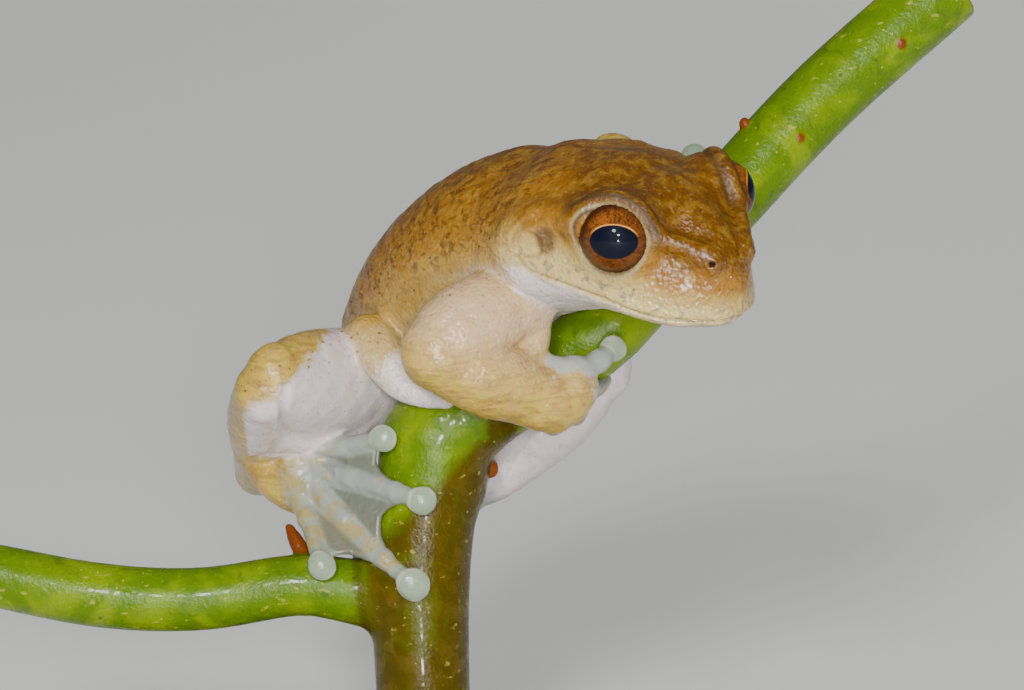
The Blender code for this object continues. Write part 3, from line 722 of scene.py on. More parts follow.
class Shader:
    """One material round a Principled node."""

    def __init__(self, name: str, **constants: float | Colour) -> None:
        """Starts a material.

        Args:
            name: Name of the material.
            constants: Values of the Principled node's own sockets, with _ for a space.
        """
        self.material = bpy.data.materials.new(name)
        self.material.use_nodes = True
        self.tree = self.material.node_tree
        self.surface = self.tree.nodes["Principled BSDF"]
        for key, value in constants.items():
            self.feed(key.replace("_", " "), value)

    def node(self, kind: str, settings: dict[str, object] | None = None,
             values: dict[int | str, "Sock | float | tuple"] | None = None, out: int | str = 0) -> Sock:
        """Makes any node.

        Args:
            kind: Type of the node.
            settings: Properties, set before the sockets.
            values: Socket values or links, by index or name.
            out: The output to return.

        Returns:
            The chosen output.
        """
        made = self.tree.nodes.new(kind)
        for key, value in (settings or {}).items():
            setattr(made, key, value)
        for key, value in (values or {}).items():
            self.put(made.inputs[key], value)
        return Sock(self, made.outputs[out])

    def put(self, socket: bpy.types.NodeSocket, value: "Sock | float | tuple") -> None:
        """Links or sets one socket."""
        if isinstance(value, Sock):
            self.tree.links.new(value.out, socket)
        elif isinstance(value, (tuple, list)) and len(socket.default_value) == 4:
            socket.default_value = (*value[:3], 1.0)
        else:
            socket.default_value = value

    def feed(self, name: str, value: "Sock | float | tuple") -> None:
        """Links or sets a socket of the Principled node."""
        self.put(self.surface.inputs[name], value)

    def attributes(self, *names: str) -> list[Sock]:
        """Values stored on the mesh."""
        return [self.node("ShaderNodeAttribute", {"attribute_name": name}, out="Fac") for name in names]

    def place(self, stretch: Point = (1.0, 1.0, 1.0), turn: Point = (0.0, 0.0, 0.0)) -> Sock:
        """Object coordinates in millimetres, turned and stretched."""
        raw = self.node("ShaderNodeTexCoord", out="Object")
        return self.node("ShaderNodeMapping", None, {
            "Vector": raw, "Scale": tuple(1000.0 * share for share in stretch), "Rotation": turn})

    def noise(self, size: float, detail: float = 3.0, at: Sock | None = None, twist: float = 0.0,
              rough: float = 0.55) -> Sock:
        """Noise with patches of about this size in millimetres."""
        return self.node("ShaderNodeTexNoise", None, {
            "Vector": at or self.place(), "Scale": 1.0 / size, "Detail": detail, "Distortion": twist,
            "Roughness": rough})

    def specks(self, spacing: float, radius: float, at: Sock | None = None, keep: float = 1.0) -> Sock:
        """Round specks, 1 at their middle.

        Args:
            spacing: Mean distance in millimetres.
            radius: Their radius as a share of the spacing.
            at: Coordinates.
            keep: Share of the specks that show.

        Returns:
            The mask.
        """
        where = at or self.place()
        near, tint = (self.node("ShaderNodeTexVoronoi", None, {"Vector": where, "Scale": 1.0 / spacing}, out)
                      for out in ("Distance", "Color"))
        pick, size = (self.node("ShaderNodeSeparateColor", None, {0: tint}, channel) for channel in (0, 1))
        return near.step(radius, radius * 0.45) * pick.step(keep, keep - 0.05) * (0.35 + 0.65 * size)

    def mix(self, mask: Sock | float, first: "Sock | Colour", second: "Sock | Colour") -> Sock:
        """The first colour where the mask is 0, the second where it is 1."""
        return self.node("ShaderNodeMix", {"data_type": "RGBA"}, {0: mask, 6: first, 7: second}, 2)

    def layers(self, start: "Sock | Colour", *steps: tuple["Sock", "Sock | Colour"]) -> Sock:
        """Colours laid over each other, each with its mask."""
        colour = start
        for mask, following in steps:
            colour = self.mix(mask, colour, following)
        return colour

    def bump(self, height: Sock, depth: float, strength: float = 1.0) -> None:
        """Feeds a bump of this depth in millimetres to the surface's normal."""
        self.feed("Normal", self.node("ShaderNodeBump", None, {
            "Height": height, "Distance": depth * METRES, "Strength": strength}, "Normal"))

    def dress(self, piece: bpy.types.Object) -> None:
        """Gives the piece this material alone."""
        piece.data.materials.clear()
        piece.data.materials.append(self.material)


@dataclass(frozen=True)
class SkinFinish:
    """Moist frog skin; masks on the mesh say where each tone lies."""

    belly: Colour = (0.66, 0.60, 0.52)
    flank_low: Colour = (0.47, 0.33, 0.125)
    flank: Colour = (0.385, 0.225, 0.032)
    back: Colour = (0.26, 0.105, 0.004)
    back_dark: Colour = (0.095, 0.032, 0.001)
    gold_fleck: Colour = (0.42, 0.24, 0.018)
    cream: Colour = (0.57, 0.44, 0.155)
    grey: Colour = (0.22, 0.17, 0.11)
    lilac: Colour = (0.60, 0.51, 0.525)
    pink: Colour = (0.62, 0.42, 0.27)
    tan: Colour = (0.48, 0.29, 0.06)
    gold: Colour = (0.44, 0.33, 0.035)
    stripe: Colour = (0.25, 0.15, 0.04)
    blue: Colour = (0.265, 0.295, 0.26)
    toe_gold: Colour = (0.33, 0.27, 0.115)
    # web: the membrane's own grey-green, set darker as painted shade between the toes
    web: Colour = (0.115, 0.125, 0.085)
    disc: Colour = (0.24, 0.31, 0.21)
    eye_ring: Colour = (0.31, 0.25, 0.12)
    # shadow: painted shade in the folds, creases and nostrils and round the eye's opening
    shadow: Colour = (0.045, 0.022, 0.004)
    dark: Colour = (0.035, 0.018, 0.008)
    patch: Colour = (0.11, 0.052, 0.012)
    granule: float = 0.28

    def make(self) -> Shader:
        """Builds the shader."""
        s = Shader("frog_skin", Subsurface_Weight=0.22, Subsurface_Radius=(1.0, 0.45, 0.25),
                   Subsurface_Scale=0.0009, Coat_Roughness=0.12, Coat_IOR=1.36, Specular_IOR_Level=0.5)
        tone, head, limb, tip = s.attributes("tone", "head", "limb", "tip")
        lilac, gold, disc, dark = s.attributes("lilac", "gold", "disc", "dark")
        ring, patch, pink, lip = s.attributes("ring", "patch", "pink", "lip")
        web, rim, brown, wet = s.attributes("web", "rim", "brown", "wet")
        broad = s.noise(2.6, 3.0, twist=0.6)
        middle = s.noise(0.8, 4.0, twist=0.4)
        fine = s.noise(0.22, 3.0)
        streaks = s.noise(0.8, 4.0, s.place((0.5, 1.0, 1.2), (0.3, 0.5, 0.5)), twist=1.2)
        bands = s.noise(0.42, 2.0, s.place((0.3, 0.3, 1.6), (0.3, 0.0, 0.0)), twist=0.3)
        level = (tone + (broad - 0.5) * (0.42 - 0.12 * head) + (middle - 0.5) * (0.36 - 0.2 * head)
                 + (fine - 0.5) * 0.16)
        streak = streaks.step(0.47, 0.6) * tone.step(0.34, 0.66) * (1.0 - head * 0.9) * 0.85
        fleck = middle.step(0.44, 0.66) * tone.step(0.42, 0.7) * (0.42 - 0.12 * head)
        body = s.layers(
            self.belly, (level.step(0.03, 0.22), self.flank_low), (level.step(0.24, 0.48), self.flank),
            (level.step(0.46, 0.74), self.back), (level.step(0.74, 1.1) * 0.85, self.back_dark),
            (streak, self.back_dark), (fleck, self.gold_fleck),
            (lip * (0.85 - middle.step(0.45, 0.7) * 0.35), self.cream),
            (lip * broad.step(0.44, 0.62) * 0.45, self.flank_low),
            (lilac * (0.9 - broad.step(0.5, 0.7) * 0.25), self.lilac))
        blotch = s.noise(1.5, 4.0, twist=0.5)
        rosy = s.mix(blotch.step(0.48, 0.8) * 0.6, self.pink, self.tan)
        gilt = s.mix(pink, s.mix(middle.step(0.36, 0.66), self.tan, self.gold), rosy)
        edge = (gold + (blotch - 0.5) * 1.0 + (middle - 0.5) * 0.9 + (fine - 0.5) * 0.4).step(0.2, 0.8)
        limbs = s.mix(edge, s.mix(broad.step(0.4, 0.65) * 0.4, self.lilac, self.belly), gilt)
        limbs = s.mix(brown * edge * 0.75, limbs, s.mix(broad.step(0.46, 0.58), self.flank, self.back))
        limbs = s.mix(bands.step(0.44, 0.64) * edge * 0.6 * (1.0 - pink), limbs, self.stripe)
        whole = s.mix(limb, body, limbs)
        gilded = (gold + (blotch - 0.5) * 1.2 + (middle - 0.5) * 1.2).step(0.45, 0.75)
        # The discs' pale rims on the feet are partly their own margin and partly a painted highlight.
        feet = s.layers(self.blue, (gilded, self.toe_gold), (fine.step(0.6, 0.75) * gold, self.grey),
                        (web * 0.85, self.web), (disc, self.disc), (rim * 0.5, self.belly))
        spots = s.noise(0.5, 3.0, twist=0.4).step(0.5, 0.66)
        spotted = lip * (0.4 + 0.6 * tone.step(0.05, 0.2)) + lilac * 0.2
        dots = s.specks(0.62, 0.22, keep=0.62) * tone.step(0.12, 0.35) * (1.0 - tip)
        pepper = s.specks(0.34, 0.32, keep=0.45) * (0.45 * (1.0 - tip) + 0.12)
        s.feed("Base Color", s.layers(
            whole, (tip, feet), (spots * spotted * 0.8, self.grey), (dots * (0.9 - 0.3 * head), self.dark),
            (pepper, self.grey), (patch * middle.step(0.22, 0.42) * 0.95, self.patch), (ring, self.eye_ring),
            (dark * 0.92, self.shadow)))
        s.feed("Roughness", 0.3 - 0.14 * wet + (middle - 0.5) * 0.2 + 0.4 * dark)
        s.feed("Coat Weight", (0.1 + 0.15 * wet + (broad - 0.5) * 0.4) * (1.0 - dark))
        granules = s.node("ShaderNodeTexVoronoi", {"feature": "SMOOTH_F1"}, {
            "Vector": s.place(), "Scale": 1.0 / self.granule, "Smoothness": 0.6}, "Distance")
        rough = 1.0 - limb * (0.8 - 0.4 * edge)
        grain = granules * (-0.45 - 0.35 * wet) * (1.0 - 0.7 * tip) + fine * 0.5 + middle * 0.5
        s.bump(grain * rough, 0.16, 0.85)
        return s


@dataclass(frozen=True)
class EyeFinish:
    """Wet eye: copper iris with a dark rim painted as the lids' shade, and a wide dark pupil."""

    half_width: float = 1.54
    half_height: float = 1.09
    iris: Colour = (0.12, 0.036, 0.006)
    bright: Colour = (0.25, 0.075, 0.011)
    shade: Colour = (0.035, 0.009, 0.003)
    pupil: Colour = (0.003, 0.004, 0.012)
    rim: Colour = (0.75, 0.32, 0.06)

    def make(self) -> Shader:
        """Builds the shader."""
        s = Shader("frog_eye", Roughness=0.5, Specular_IOR_Level=0.05, Coat_Weight=0.8, Coat_Roughness=0.02,
                   Coat_IOR=1.22)
        place = s.place()
        x, y, z = (s.node("ShaderNodeSeparateXYZ", None, {0: place}, axis) for axis in range(3))
        oval = (x * x / self.half_width ** 2 + y * y / self.half_height ** 2).math("SQRT")
        radius = (x * x + y * y).math("SQRT")
        angle = y.math("ARCTAN2", x)
        spokes = s.node("ShaderNodeCombineXYZ", None, {0: angle * 5.0, 1: radius * 0.9, 2: 0.3})
        lines = s.noise(1.0, 4.0, spokes, 0.8, 0.7)
        net = s.noise(0.16, 3.0, twist=0.5)
        # shade is the iris's own dark network, and in the ring towards its edge a painted shade from the
        # lids.
        s.feed("Base Color", s.layers(
            self.shade, ((net * 0.6 + lines * 0.5).step(0.36, 0.6), self.iris),
            ((net * 0.5 + lines * 0.5 + y * 0.05).step(0.5, 0.72), self.bright),
            (radius.step(1.75, 2.15), self.shade), (oval.step(1.1, 1.02) * y.step(0.2, 0.9), self.rim),
            (oval.step(1.03, 0.98), self.pupil)))
        return s


@dataclass(frozen=True)
class StemFinish:
    """Wet waxy plant skin: green, orange-brown at the node and low down, with flecks."""

    green: Colour = (0.08, 0.15, 0.0)
    light: Colour = (0.15, 0.225, 0.001)
    deep: Colour = (0.035, 0.07, 0.0)
    # brown and orange are the bark's own colours, set darker as painted shade on the lower stem
    brown: Colour = (0.05, 0.035, 0.0)
    orange: Colour = (0.09, 0.058, 0.0)
    fleck: Colour = (0.55, 0.45, 0.10)
    speck: Colour = (0.035, 0.03, 0.01)
    olive: Colour = (0.075, 0.085, 0.001)
    scar: Colour = (0.15, 0.035, 0.005)
    pith: Colour = (0.62, 0.64, 0.38)
    pith_fine: Colour = (0.42, 0.46, 0.2)

    def make(self) -> Shader:
        """Builds the shader."""
        s = Shader("plant_stem", Subsurface_Weight=0.1, Subsurface_Radius=(0.4, 0.8, 0.1),
                   Subsurface_Scale=0.0008, Coat_Roughness=0.1, Coat_IOR=1.35, Specular_IOR_Level=0.14)
        brown, pith, ring, scar = s.attributes("brown", "pith", "ring", "scar")
        broad = s.noise(4.0, 4.0, twist=0.8)
        middle = s.noise(1.1, 4.0, twist=0.4)
        fine = s.noise(0.25, 3.0)
        browned = (brown + (broad - 0.5) * 0.9 + (middle - 0.5) * 0.5).step(0.2, 0.95)
        bark = s.layers(self.brown, (middle.step(0.25, 0.85), self.orange),
                        (broad.step(0.5, 0.66) * 0.6, self.olive))
        flecks = s.specks(0.6, 0.16, keep=0.4)
        strokes = s.noise(0.5, 2.0, s.place((0.5, 1.0, 1.0), (0.2, 0.6, 0.1)), 0.3).step(0.66, 0.74)
        s.feed("Base Color", s.layers(
            self.green, (broad.step(0.42, 0.62), self.light), (middle.step(0.55, 0.8) * 0.7, self.deep),
            (browned, bark), (flecks * 0.75, self.fleck), (strokes * 0.35, self.fleck),
            (s.specks(1.2, 0.13, keep=0.35) * 0.9, self.speck), (fine.step(0.5, 0.8) * 0.3, self.deep),
            (scar, self.scar), (ring, self.brown),
            (pith, s.mix(fine.step(0.4, 0.7), self.pith, self.pith_fine))))
        s.feed("Roughness", 0.26 + 0.3 * pith + (middle - 0.5) * 0.3)
        s.feed("Coat Weight", (1.0 - pith) * middle.step(0.45, 0.65) * fine.step(0.36, 0.54) * 0.5)
        s.bump(middle * 0.7 + fine * 0.5 + flecks * 0.4, 0.14, 0.8)
        return s


@dataclass
class Digit:
    """A finger or toe with a flattened disc at its tip.

    Attributes:
        keys: Rows of x, y, z and radius, from the palm or sole outward.
        pad: Radius of the disc.
        faces: The way that the disc faces.
        blend: Fillet with the palm.
        knuckle: Radius of a knuckle as a share of the shaft's.
        disc: Radii of the disc across, along and through, as shares of pad.
    """

    keys: Path
    pad: float
    faces: Point
    blend: float = 0.45
    knuckle: float = 1.07
    disc: Point = (0.96, 1.0, 0.58)

    def forms(self) -> list[Form]:
        """The shaft, its joints' knuckles and the disc."""
        tip, before = np.array(self.keys[-1][:3]), np.array(self.keys[-2][:3])
        outward = unit(self.faces)
        across = unit(np.cross(tip - before, outward))
        turn = np.stack([across, np.cross(outward, across), outward], axis=1)
        made: list[Form] = [Tube(self.keys, self.blend, 14)]
        for key in self.keys[1:-1]:
            made.append(Ball(key[:3], (key[3] * self.knuckle,) * 3, 0.3))
        made.append(Ball(tip, tuple(self.pad * share for share in self.disc), 0.3, turn))
        return made


@dataclass
class Web(Form):
    """Thin skin between two digits, its free edge hollowed.

    Attributes:
        first: One digit.
        second: The other digit.
        reaches: How far the web reaches along each.
        thickness: Full thickness.
        hollow: How far the free edge draws back between the digits.
        evening: Fillet between the rows.
        blend: Fillet with the digits.
    """

    first: Digit
    second: Digit
    reaches: tuple[float, float]
    thickness: float = 0.44
    hollow: float = 0.18
    evening: float = 0.16
    blend: float = 0.3

    def __post_init__(self) -> None:
        """Lays out the rows of the web."""
        count = 60
        runs = [smooth_path([key[:3] for key in digit.keys], count) for digit in (self.first, self.second)]
        across = np.linspace(0.0, 1.0, 5)
        hollows = 1.0 - self.hollow * np.sin(math.pi * across)
        self.rows = []
        for share in np.linspace(0.0, 1.0, 20):
            near, far = (run[np.rint((count - 1) * share * reach * hollows).astype(int)]
                         for run, reach in zip(runs, self.reaches))
            self.rows.append(near * (1 - across[:, None]) + far * across[:, None])

    def reach(self) -> tuple[np.ndarray, np.ndarray]:
        """Lowest and highest corner of the web."""
        points = np.concatenate(self.rows)
        return points.min(axis=0) - self.thickness, points.max(axis=0) + self.thickness

    def distance(self, points: np.ndarray) -> np.ndarray:
        """Distance to the rows, evened out between them."""
        best = np.full(len(points), FAR)
        for row in self.rows:
            for start, end in zip(row, row[1:]):
                run = end - start
                offset = points - start
                share = np.clip(offset @ run / max(run @ run, 1e-9), 0.0, 1.0)
                away = lengths(offset - share[:, None] * run)
                best = smooth_min(best, away - self.thickness / 2, self.evening)
        return best


@dataclass
class Lid(Form):
    """The lids and brow round one eye: a bulge that a slanted plane opens.

    Attributes:
        axes: The frog's own axes.
        centre: Centre of the eye in those axes.
        gaze: The way that the eye looks.
        opening: Distance of the opening's plane from the centre along the gaze.
        upper: Radius of the brow.
        lower: Radius of the lower lid.
        blend: Fillet with the head.
    """

    axes: Axes
    centre: np.ndarray
    gaze: np.ndarray
    opening: float
    upper: float = 3.05
    lower: float = 2.8
    blend: float = 1.1

    def reach(self) -> tuple[np.ndarray, np.ndarray]:
        """Lowest and highest corner of the lids."""
        middle = self.axes.outward(self.centre)
        return middle - self.upper, middle + self.upper

    def distance(self, points: np.ndarray) -> np.ndarray:
        """Distance to the lids."""
        offset = self.axes.inward(points) - self.centre
        size = lengths(offset) + TINY
        ahead = offset @ self.gaze
        radius = self.lower + (self.upper - self.lower) * ramp(offset[:, 2] / size, -0.5, 0.6)
        return smooth_max(size - radius, ahead - self.opening, 0.35)


@dataclass
class Limb:
    """Joints and thickness of one arm or leg.

    Attributes:
        name: Name of the group.
        pieces: Keys of each stretch in order, with its fillet.
        palm: Centre and radii of the palm or sole.
        digits: The fingers or toes.
        webs: How far each web reaches along its two digits.
        blend: Fillet between the limb and the body.
        facing: Direction of the half depth of flattened stretches.
    """

    name: str
    pieces: list[tuple[Path, float]]
    palm: tuple[Point, Point]
    digits: list[Digit]
    webs: Sequence[tuple[float, float]] = ()
    blend: float = 0.5
    facing: Point = (0.0, 0.0, 1.0)

    def groups(self) -> list[Group]:
        """The limb down to its wrist or ankle, and the hand or foot."""
        tubes: list[Form] = [Tube(keys, blend, 14, self.facing) for keys, blend in self.pieces]
        centre, radii = self.palm
        hand: list[Form] = [Ball(centre, radii, 0.5)]
        for digit in self.digits:
            hand += digit.forms()
        hand += [Web(first, second, reaches) for first, second, reaches in
                 zip(self.digits, self.digits[1:], self.webs)]
        return [Group(self.name, tubes, self.blend), Group(self.name + "_tip", hand, 0.6)]


def along(start: Point, end: Point, *rows: tuple[float, ...]) -> list[tuple[float, ...]]:
    """Keys of a straight stretch.

    Args:
        start: Its first joint.
        end: Its last joint.
        rows: For each key, its share of the way and its radius or two half sizes.

    Returns:
        The keys as rows of x, y, z and sizes.
    """
    first, last = np.array(start), np.array(end)
    return [(*(first + (last - first) * share), *sizes) for share, *sizes in rows]


class Side(Enum):
    """The frog's right and left; the value is the sign of y in its axes."""

    RIGHT = -1
    LEFT = 1


@dataclass
class FrogSizes:
    """Driving sizes of the frog, the same as the solids have but for small moves towards the photo.

    Rows of the trunk and head, and points from the eye to the eardrum, are in the frog's own axes; joints are
    in the model's frame. The angles round the eye are from its gaze, in degrees.
    """

    axes: Axes = field(default_factory=lambda: Axes.from_angles((16.3, -4.2, 48.3), (7.4, 17.0, -43.0)))
    outline: Path = ((6.9, 0.0), (6.6, 1.2), (5.6, 2.6), (3.7, 4.3), (1.4, 5.5), (-2.4, 6.6), (-5.8, 7.0),
                     (-9.5, 6.6), (-13.0, 5.4))
    crown: Path = ((-13.0, -1.6), (-10.0, -0.2), (-7.0, 0.9), (-4.0, 1.7), (0.0, 2.1), (3.0, 1.3), (5.0, 0.3))
    throat: Path = ((-13.0, -8.6), (-10.0, -8.3), (-6.0, -7.8), (-3.0, -7.3), (0.0, -6.9), (3.0, -6.3),
                    (5.0, -5.7))
    mouth: Path = ((-13.0, -4.7), (-10.0, -4.7), (-5.3, -4.6), (0.0, -4.5), (4.0, -4.8), (7.2, -4.4))
    trunk: Path = (
        (-3.0, -1.8, 4.6, 3.0, 3.4), (-5.8, -3.6, 6.2, 4.0, 4.9), (-8.6, -5.9, 6.8, 5.1, 5.2),
        (-11.6, -8.4, 7.1, 6.3, 5.3), (-14.6, -11.4, 7.2, 6.3, 5.7), (-17.4, -15.0, 6.9, 5.9, 6.1),
        (-19.6, -18.9, 6.2, 5.2, 5.7), (-21.2, -22.8, 5.0, 4.3, 4.6), (-22.9, -26.3, 3.0, 2.8, 2.8))
    eye: Point = (-0.42, 4.6, -0.5)
    eye_radius: float = 2.45
    gaze: Point = (0.39, 0.9, 0.2)
    look: Point = (0.56, 0.8, 0.32)
    opening: float = 1.05
    rim_angle: float = 62.0
    ring_angle: float = 65.0
    brow_angle: float = 71.5
    crest_angle: float = 79.0
    fold_angle: float = 92.0
    nostril: Point = (5.2, 1.55, -0.7)
    nostril_faces: Point = (0.45, 0.8, 0.3)
    nostril_radius: float = 0.21
    drum: Point = (-5.5, 6.35, -2.8)
    shoulder_left: Point = (12.3, 8.9, 44.3)
    elbow_left: Point = (12.2, 8.5, 34.1)
    wrist_left: Point = (5.1, 7.8, 27.1)
    hip_right: Point = (-1.9, 12.7, 32.4)
    knee_right: Point = (-9.6, 0.6, 35.6)
    shin_right: Point = (-10.1, 1.0, 34.8)
    heel_right: Point = (-11.5, 15.8, 25.0)
    sole_right: Point = (-8.2, 6.4, 27.8)
    hip_left: Point = (2.3, 17.4, 33.3)
    knee_left: Point = (13.0, 19.4, 46.3)
    heel_left: Point = (7.4, 26.5, 31.5)
    sole_left: Point = (13.6, 21.1, 40.2)
    sole: Point = (1.6, 1.9, 1.5)
    ankle: Path = ((0.0, 1.3, 1.3), (0.5, 1.4, 1.2), (1.0, 1.6, 1.2))

    def at_side(self, point: Point, side: Side) -> np.ndarray:
        """A point or direction of the frog's axes on this side."""
        return np.array(point) * (1.0, side.value, 1.0)

    def eye_angle(self, offset: np.ndarray) -> tuple[np.ndarray, np.ndarray]:
        """Distance from the eye's centre, and angle from its gaze in degrees, at folded offsets from it."""
        away = lengths(offset)
        share = offset @ unit(self.gaze) / np.maximum(away, 0.1)
        return away, np.degrees(np.arccos(np.clip(share, -1.0, 1.0)))

    def over_eye(self, offset: np.ndarray) -> np.ndarray:
        """1 over the eye, where the brow lies, at folded offsets from its centre."""
        return ramp(offset[:, 2] - 0.35 * offset[:, 0], -0.9, 0.8)

    def arm_right(self) -> Limb:
        """The near arm, bent under the chin, its hand round the stem."""
        upper = [(7.4, -0.2, 42.2, 2.3), (5.2, -1.4, 41.1, 2.7), (3.0, -3.2, 40.1, 3.05),
                 (1.3, -4.6, 39.2, 2.45)]
        fore = [(1.0, -4.9, 38.8, 2.1), (4.2, -3.9, 37.2, 2.55), (6.7, -3.0, 36.0, 2.25),
                (8.7, -2.7, 35.1, 2.0), (9.9, -2.3, 35.6, 1.6)]
        fold = [(6.5, -1.2, 41.2, 1.6), (7.4, -1.1, 39.4, 1.15), (7.0, -1.9, 38.1, 1.2),
                (6.2, -2.3, 37.4, 1.3)]
        first = Digit(((8.3, -2.2, 37.3, 0.9), (10.1, -2.0, 37.1, 0.82), (11.6, -0.9, 37.4, 0.7),
                       (12.6, 0.3, 37.9, 0.64)), 0.92, (0.1, -1.0, 0.1))
        rest = (
            ((9.7, -0.6, 35.3, 0.7), (11.2, 0.6, 35.1, 0.6), (12.0, 3.6, 34.9, 0.5),
             (11.4, 6.5, 36.3, 0.45)),
            ((9.1, -0.6, 34.7, 0.75), (10.1, 0.8, 33.3, 0.62), (10.5, 4.0, 33.0, 0.5),
             (9.4, 7.1, 34.2, 0.45)),
            ((8.2, -0.5, 34.8, 0.75), (8.7, 0.8, 32.7, 0.65), (8.9, 4.4, 31.7, 0.5),
             (7.7, 7.4, 32.6, 0.45)))
        digits = [first] + [Digit(keys, 0.8, (0.2, 1.0, -0.2)) for keys in rest]
        return Limb("arm_right", [(upper, 0.6), (fore, 0.45), (fold, 0.8)],
                    ((10.0, -1.8, 36.3), (1.45, 1.2, 1.5)), digits, (), 0.35)

    def arm_left(self) -> Limb:
        """The far arm, straight down behind the stem."""
        upper = along(self.shoulder_left, self.elbow_left, (0.0, 2.1), (0.5, 1.9), (1.0, 1.7))
        fore = along(self.elbow_left, self.wrist_left, (0.0, 1.7), (0.42, 2.4), (0.78, 2.0), (1.0, 1.6))
        digits = [Digit(keys, 0.8, faces) for keys, faces in (
            (((3.4, 7.9, 27.0, 0.75), (0.8, 8.0, 28.2, 0.65), (-2.0, 7.6, 28.8, 0.55)), (0.0, 1.0, 0.3)),
            (((3.0, 7.9, 26.4, 0.75), (0.2, 7.5, 26.4, 0.65), (-2.8, 6.1, 26.2, 0.6),
              (-4.1, 3.7, 26.0, 0.55)), (-1.0, 0.3, 0.0)),
            (((3.0, 7.6, 25.9, 0.75), (0.4, 6.8, 24.2, 0.65), (-2.6, 5.2, 23.2, 0.6),
              (-4.1, 3.1, 22.9, 0.55)), (-1.0, 0.3, 0.0)),
            (((3.3, 7.2, 25.4, 0.7), (1.9, 6.6, 22.8, 0.6), (0.2, 5.9, 20.6, 0.55)), (0.0, 1.0, 0.0)))]
        return Limb("arm_left", [(upper, 0.6), (fore, 0.6)], ((3.6, 7.6, 26.5), (1.9, 1.3, 1.6)), digits, (),
                    0.6)

    def leg_right(self) -> Limb:
        """The near leg, folded, its foot spread on the stem."""
        thigh = along(self.hip_right, self.knee_right, (0.0, 2.8, 3.0), (0.4, 3.0, 3.6), (0.77, 2.6, 3.4),
                      (1.0, 2.0, 2.6))
        shank = along(self.shin_right, self.heel_right, (0.0, 2.2, 2.2), (0.35, 2.5, 2.5), (0.75, 1.9, 1.9),
                      (1.0, 1.7, 1.7))
        ankle = along(self.heel_right, self.sole_right, *self.ankle)
        digits = [Digit(*row) for row in (
            (((-8.0, 6.2, 29.0, 0.85), (-5.1, 4.0, 30.2, 0.65), (-2.5, 1.7, 31.4, 0.55)),
             0.95, (-0.3, -1.0, 0.2)),
            (((-7.9, 5.8, 28.3, 0.9), (-4.6, 3.1, 28.2, 0.7), (-1.7, 0.5, 28.1, 0.62),
              (0.1, -0.6, 27.8, 0.55)), 1.0, (0.0, -1.0, 0.1)),
            (((-8.2, 5.4, 27.8, 0.9), (-5.1, 2.4, 25.6, 0.7), (-2.4, -0.2, 23.6, 0.62),
              (-0.5, -1.8, 22.4, 0.55)), 1.15, (0.0, -1.0, 0.1)),
            (((-8.8, 5.7, 27.4, 0.9), (-7.6, 3.1, 25.4, 0.65), (-6.6, -0.5, 23.3, 0.55)),
             1.0, (0.0, -1.0, 0.3)))]
        tarsus = [(-11.3, 8.6, 28.3, 1.2), (-10.2, 6.9, 27.3, 1.3), (-9.2, 6.0, 26.4, 1.15),
                  (-8.5, 5.7, 25.9, 0.9)]
        under = [(-9.3, 5.0, 31.4, 1.6), (-7.0, 6.2, 30.3, 1.7), (-5.2, 7.3, 30.6, 1.7),
                 (-3.9, 8.0, 32.0, 1.4)]
        return Limb("leg_right", [(thigh, 0.6), (shank, 0.25), (under, 1.0), (ankle, 0.35), (tarsus, 0.5)],
                    (self.sole_right, self.sole), digits, ((0.95, 0.8), (0.9, 0.74), (0.86, 0.96)), 0.8)

    def leg_left(self) -> Limb:
        """The far leg, folded, its foot on the upper stem."""
        thigh = along(self.hip_left, self.knee_left, (0.0, 2.6, 2.6), (0.4, 3.2, 3.0), (0.77, 2.3, 2.3),
                      (1.0, 1.8, 1.8))
        shank = along(self.knee_left, self.heel_left, (0.0, 1.7, 1.7), (0.35, 2.3, 2.1), (0.75, 1.7, 1.7),
                      (1.0, 1.4, 1.4))
        ankle = along(self.heel_left, self.sole_left, *self.ankle)
        digits = [Digit(*row) for row in (
            (((14.0, 20.5, 40.8, 0.8), (16.2, 16.3, 44.9, 0.65), (18.2, 11.8, 48.3, 0.5)),
             0.9, (0.3, 0.6, -0.7)),
            (((14.2, 20.4, 40.5, 0.85), (17.8, 16.6, 44.8, 0.65), (21.1, 14.4, 48.1, 0.6),
              (23.1, 12.8, 50.3, 0.5)), 0.95, (0.3, 1.0, 0.3)),
            (((14.3, 20.3, 40.1, 0.85), (18.8, 16.2, 43.1, 0.7), (21.8, 13.8, 45.5, 0.6),
              (23.4, 12.2, 46.9, 0.5)), 1.0, (0.6, 0.8, 0.0)),
            (((14.2, 20.2, 39.7, 0.8), (16.7, 15.7, 41.5, 0.65), (18.9, 11.6, 43.8, 0.5)),
             0.9, (0.6, 0.4, -0.6)))]
        return Limb("leg_left", [(thigh, 0.6), (shank, 0.3), (ankle, 0.35)], (self.sole_left, self.sole),
                    digits, ((0.7, 0.6), (0.75, 0.75), (0.65, 0.75)), 0.8, (1.0, 0.0, 0.0))


@dataclass
class Crease:
    """A groove or, with a negative depth, a ridge of the skin along a path.

    Attributes:
        path: Points in the model's frame, or in the frog's axes for a pair on both sides.
        width: Half width.
        depth: Depth.
        paired: Whether it is on both sides of the head or trunk.
        shade: Strength of the painted shade along it, from 0 to 1.
    """

    path: Path
    width: float
    depth: float
    paired: bool = False
    shade: float = 0.0

    def press(self, points: np.ndarray, folded: np.ndarray) -> np.ndarray:
        """What it adds to the distance of points, given also in the frog's folded axes."""
        where = folded if self.paired else points
        tube = Tube([(*key, 0.0) for key in self.path], 0.1, 10)
        low, high = tube.reach()
        near = np.all((where > low - 3 * self.width) & (where < high + 3 * self.width), axis=1)
        result = np.zeros(len(points))
        if near.any():
            result[near] = self.depth * bell(tube.distance(where[near]), 0.0, self.width)
        return result


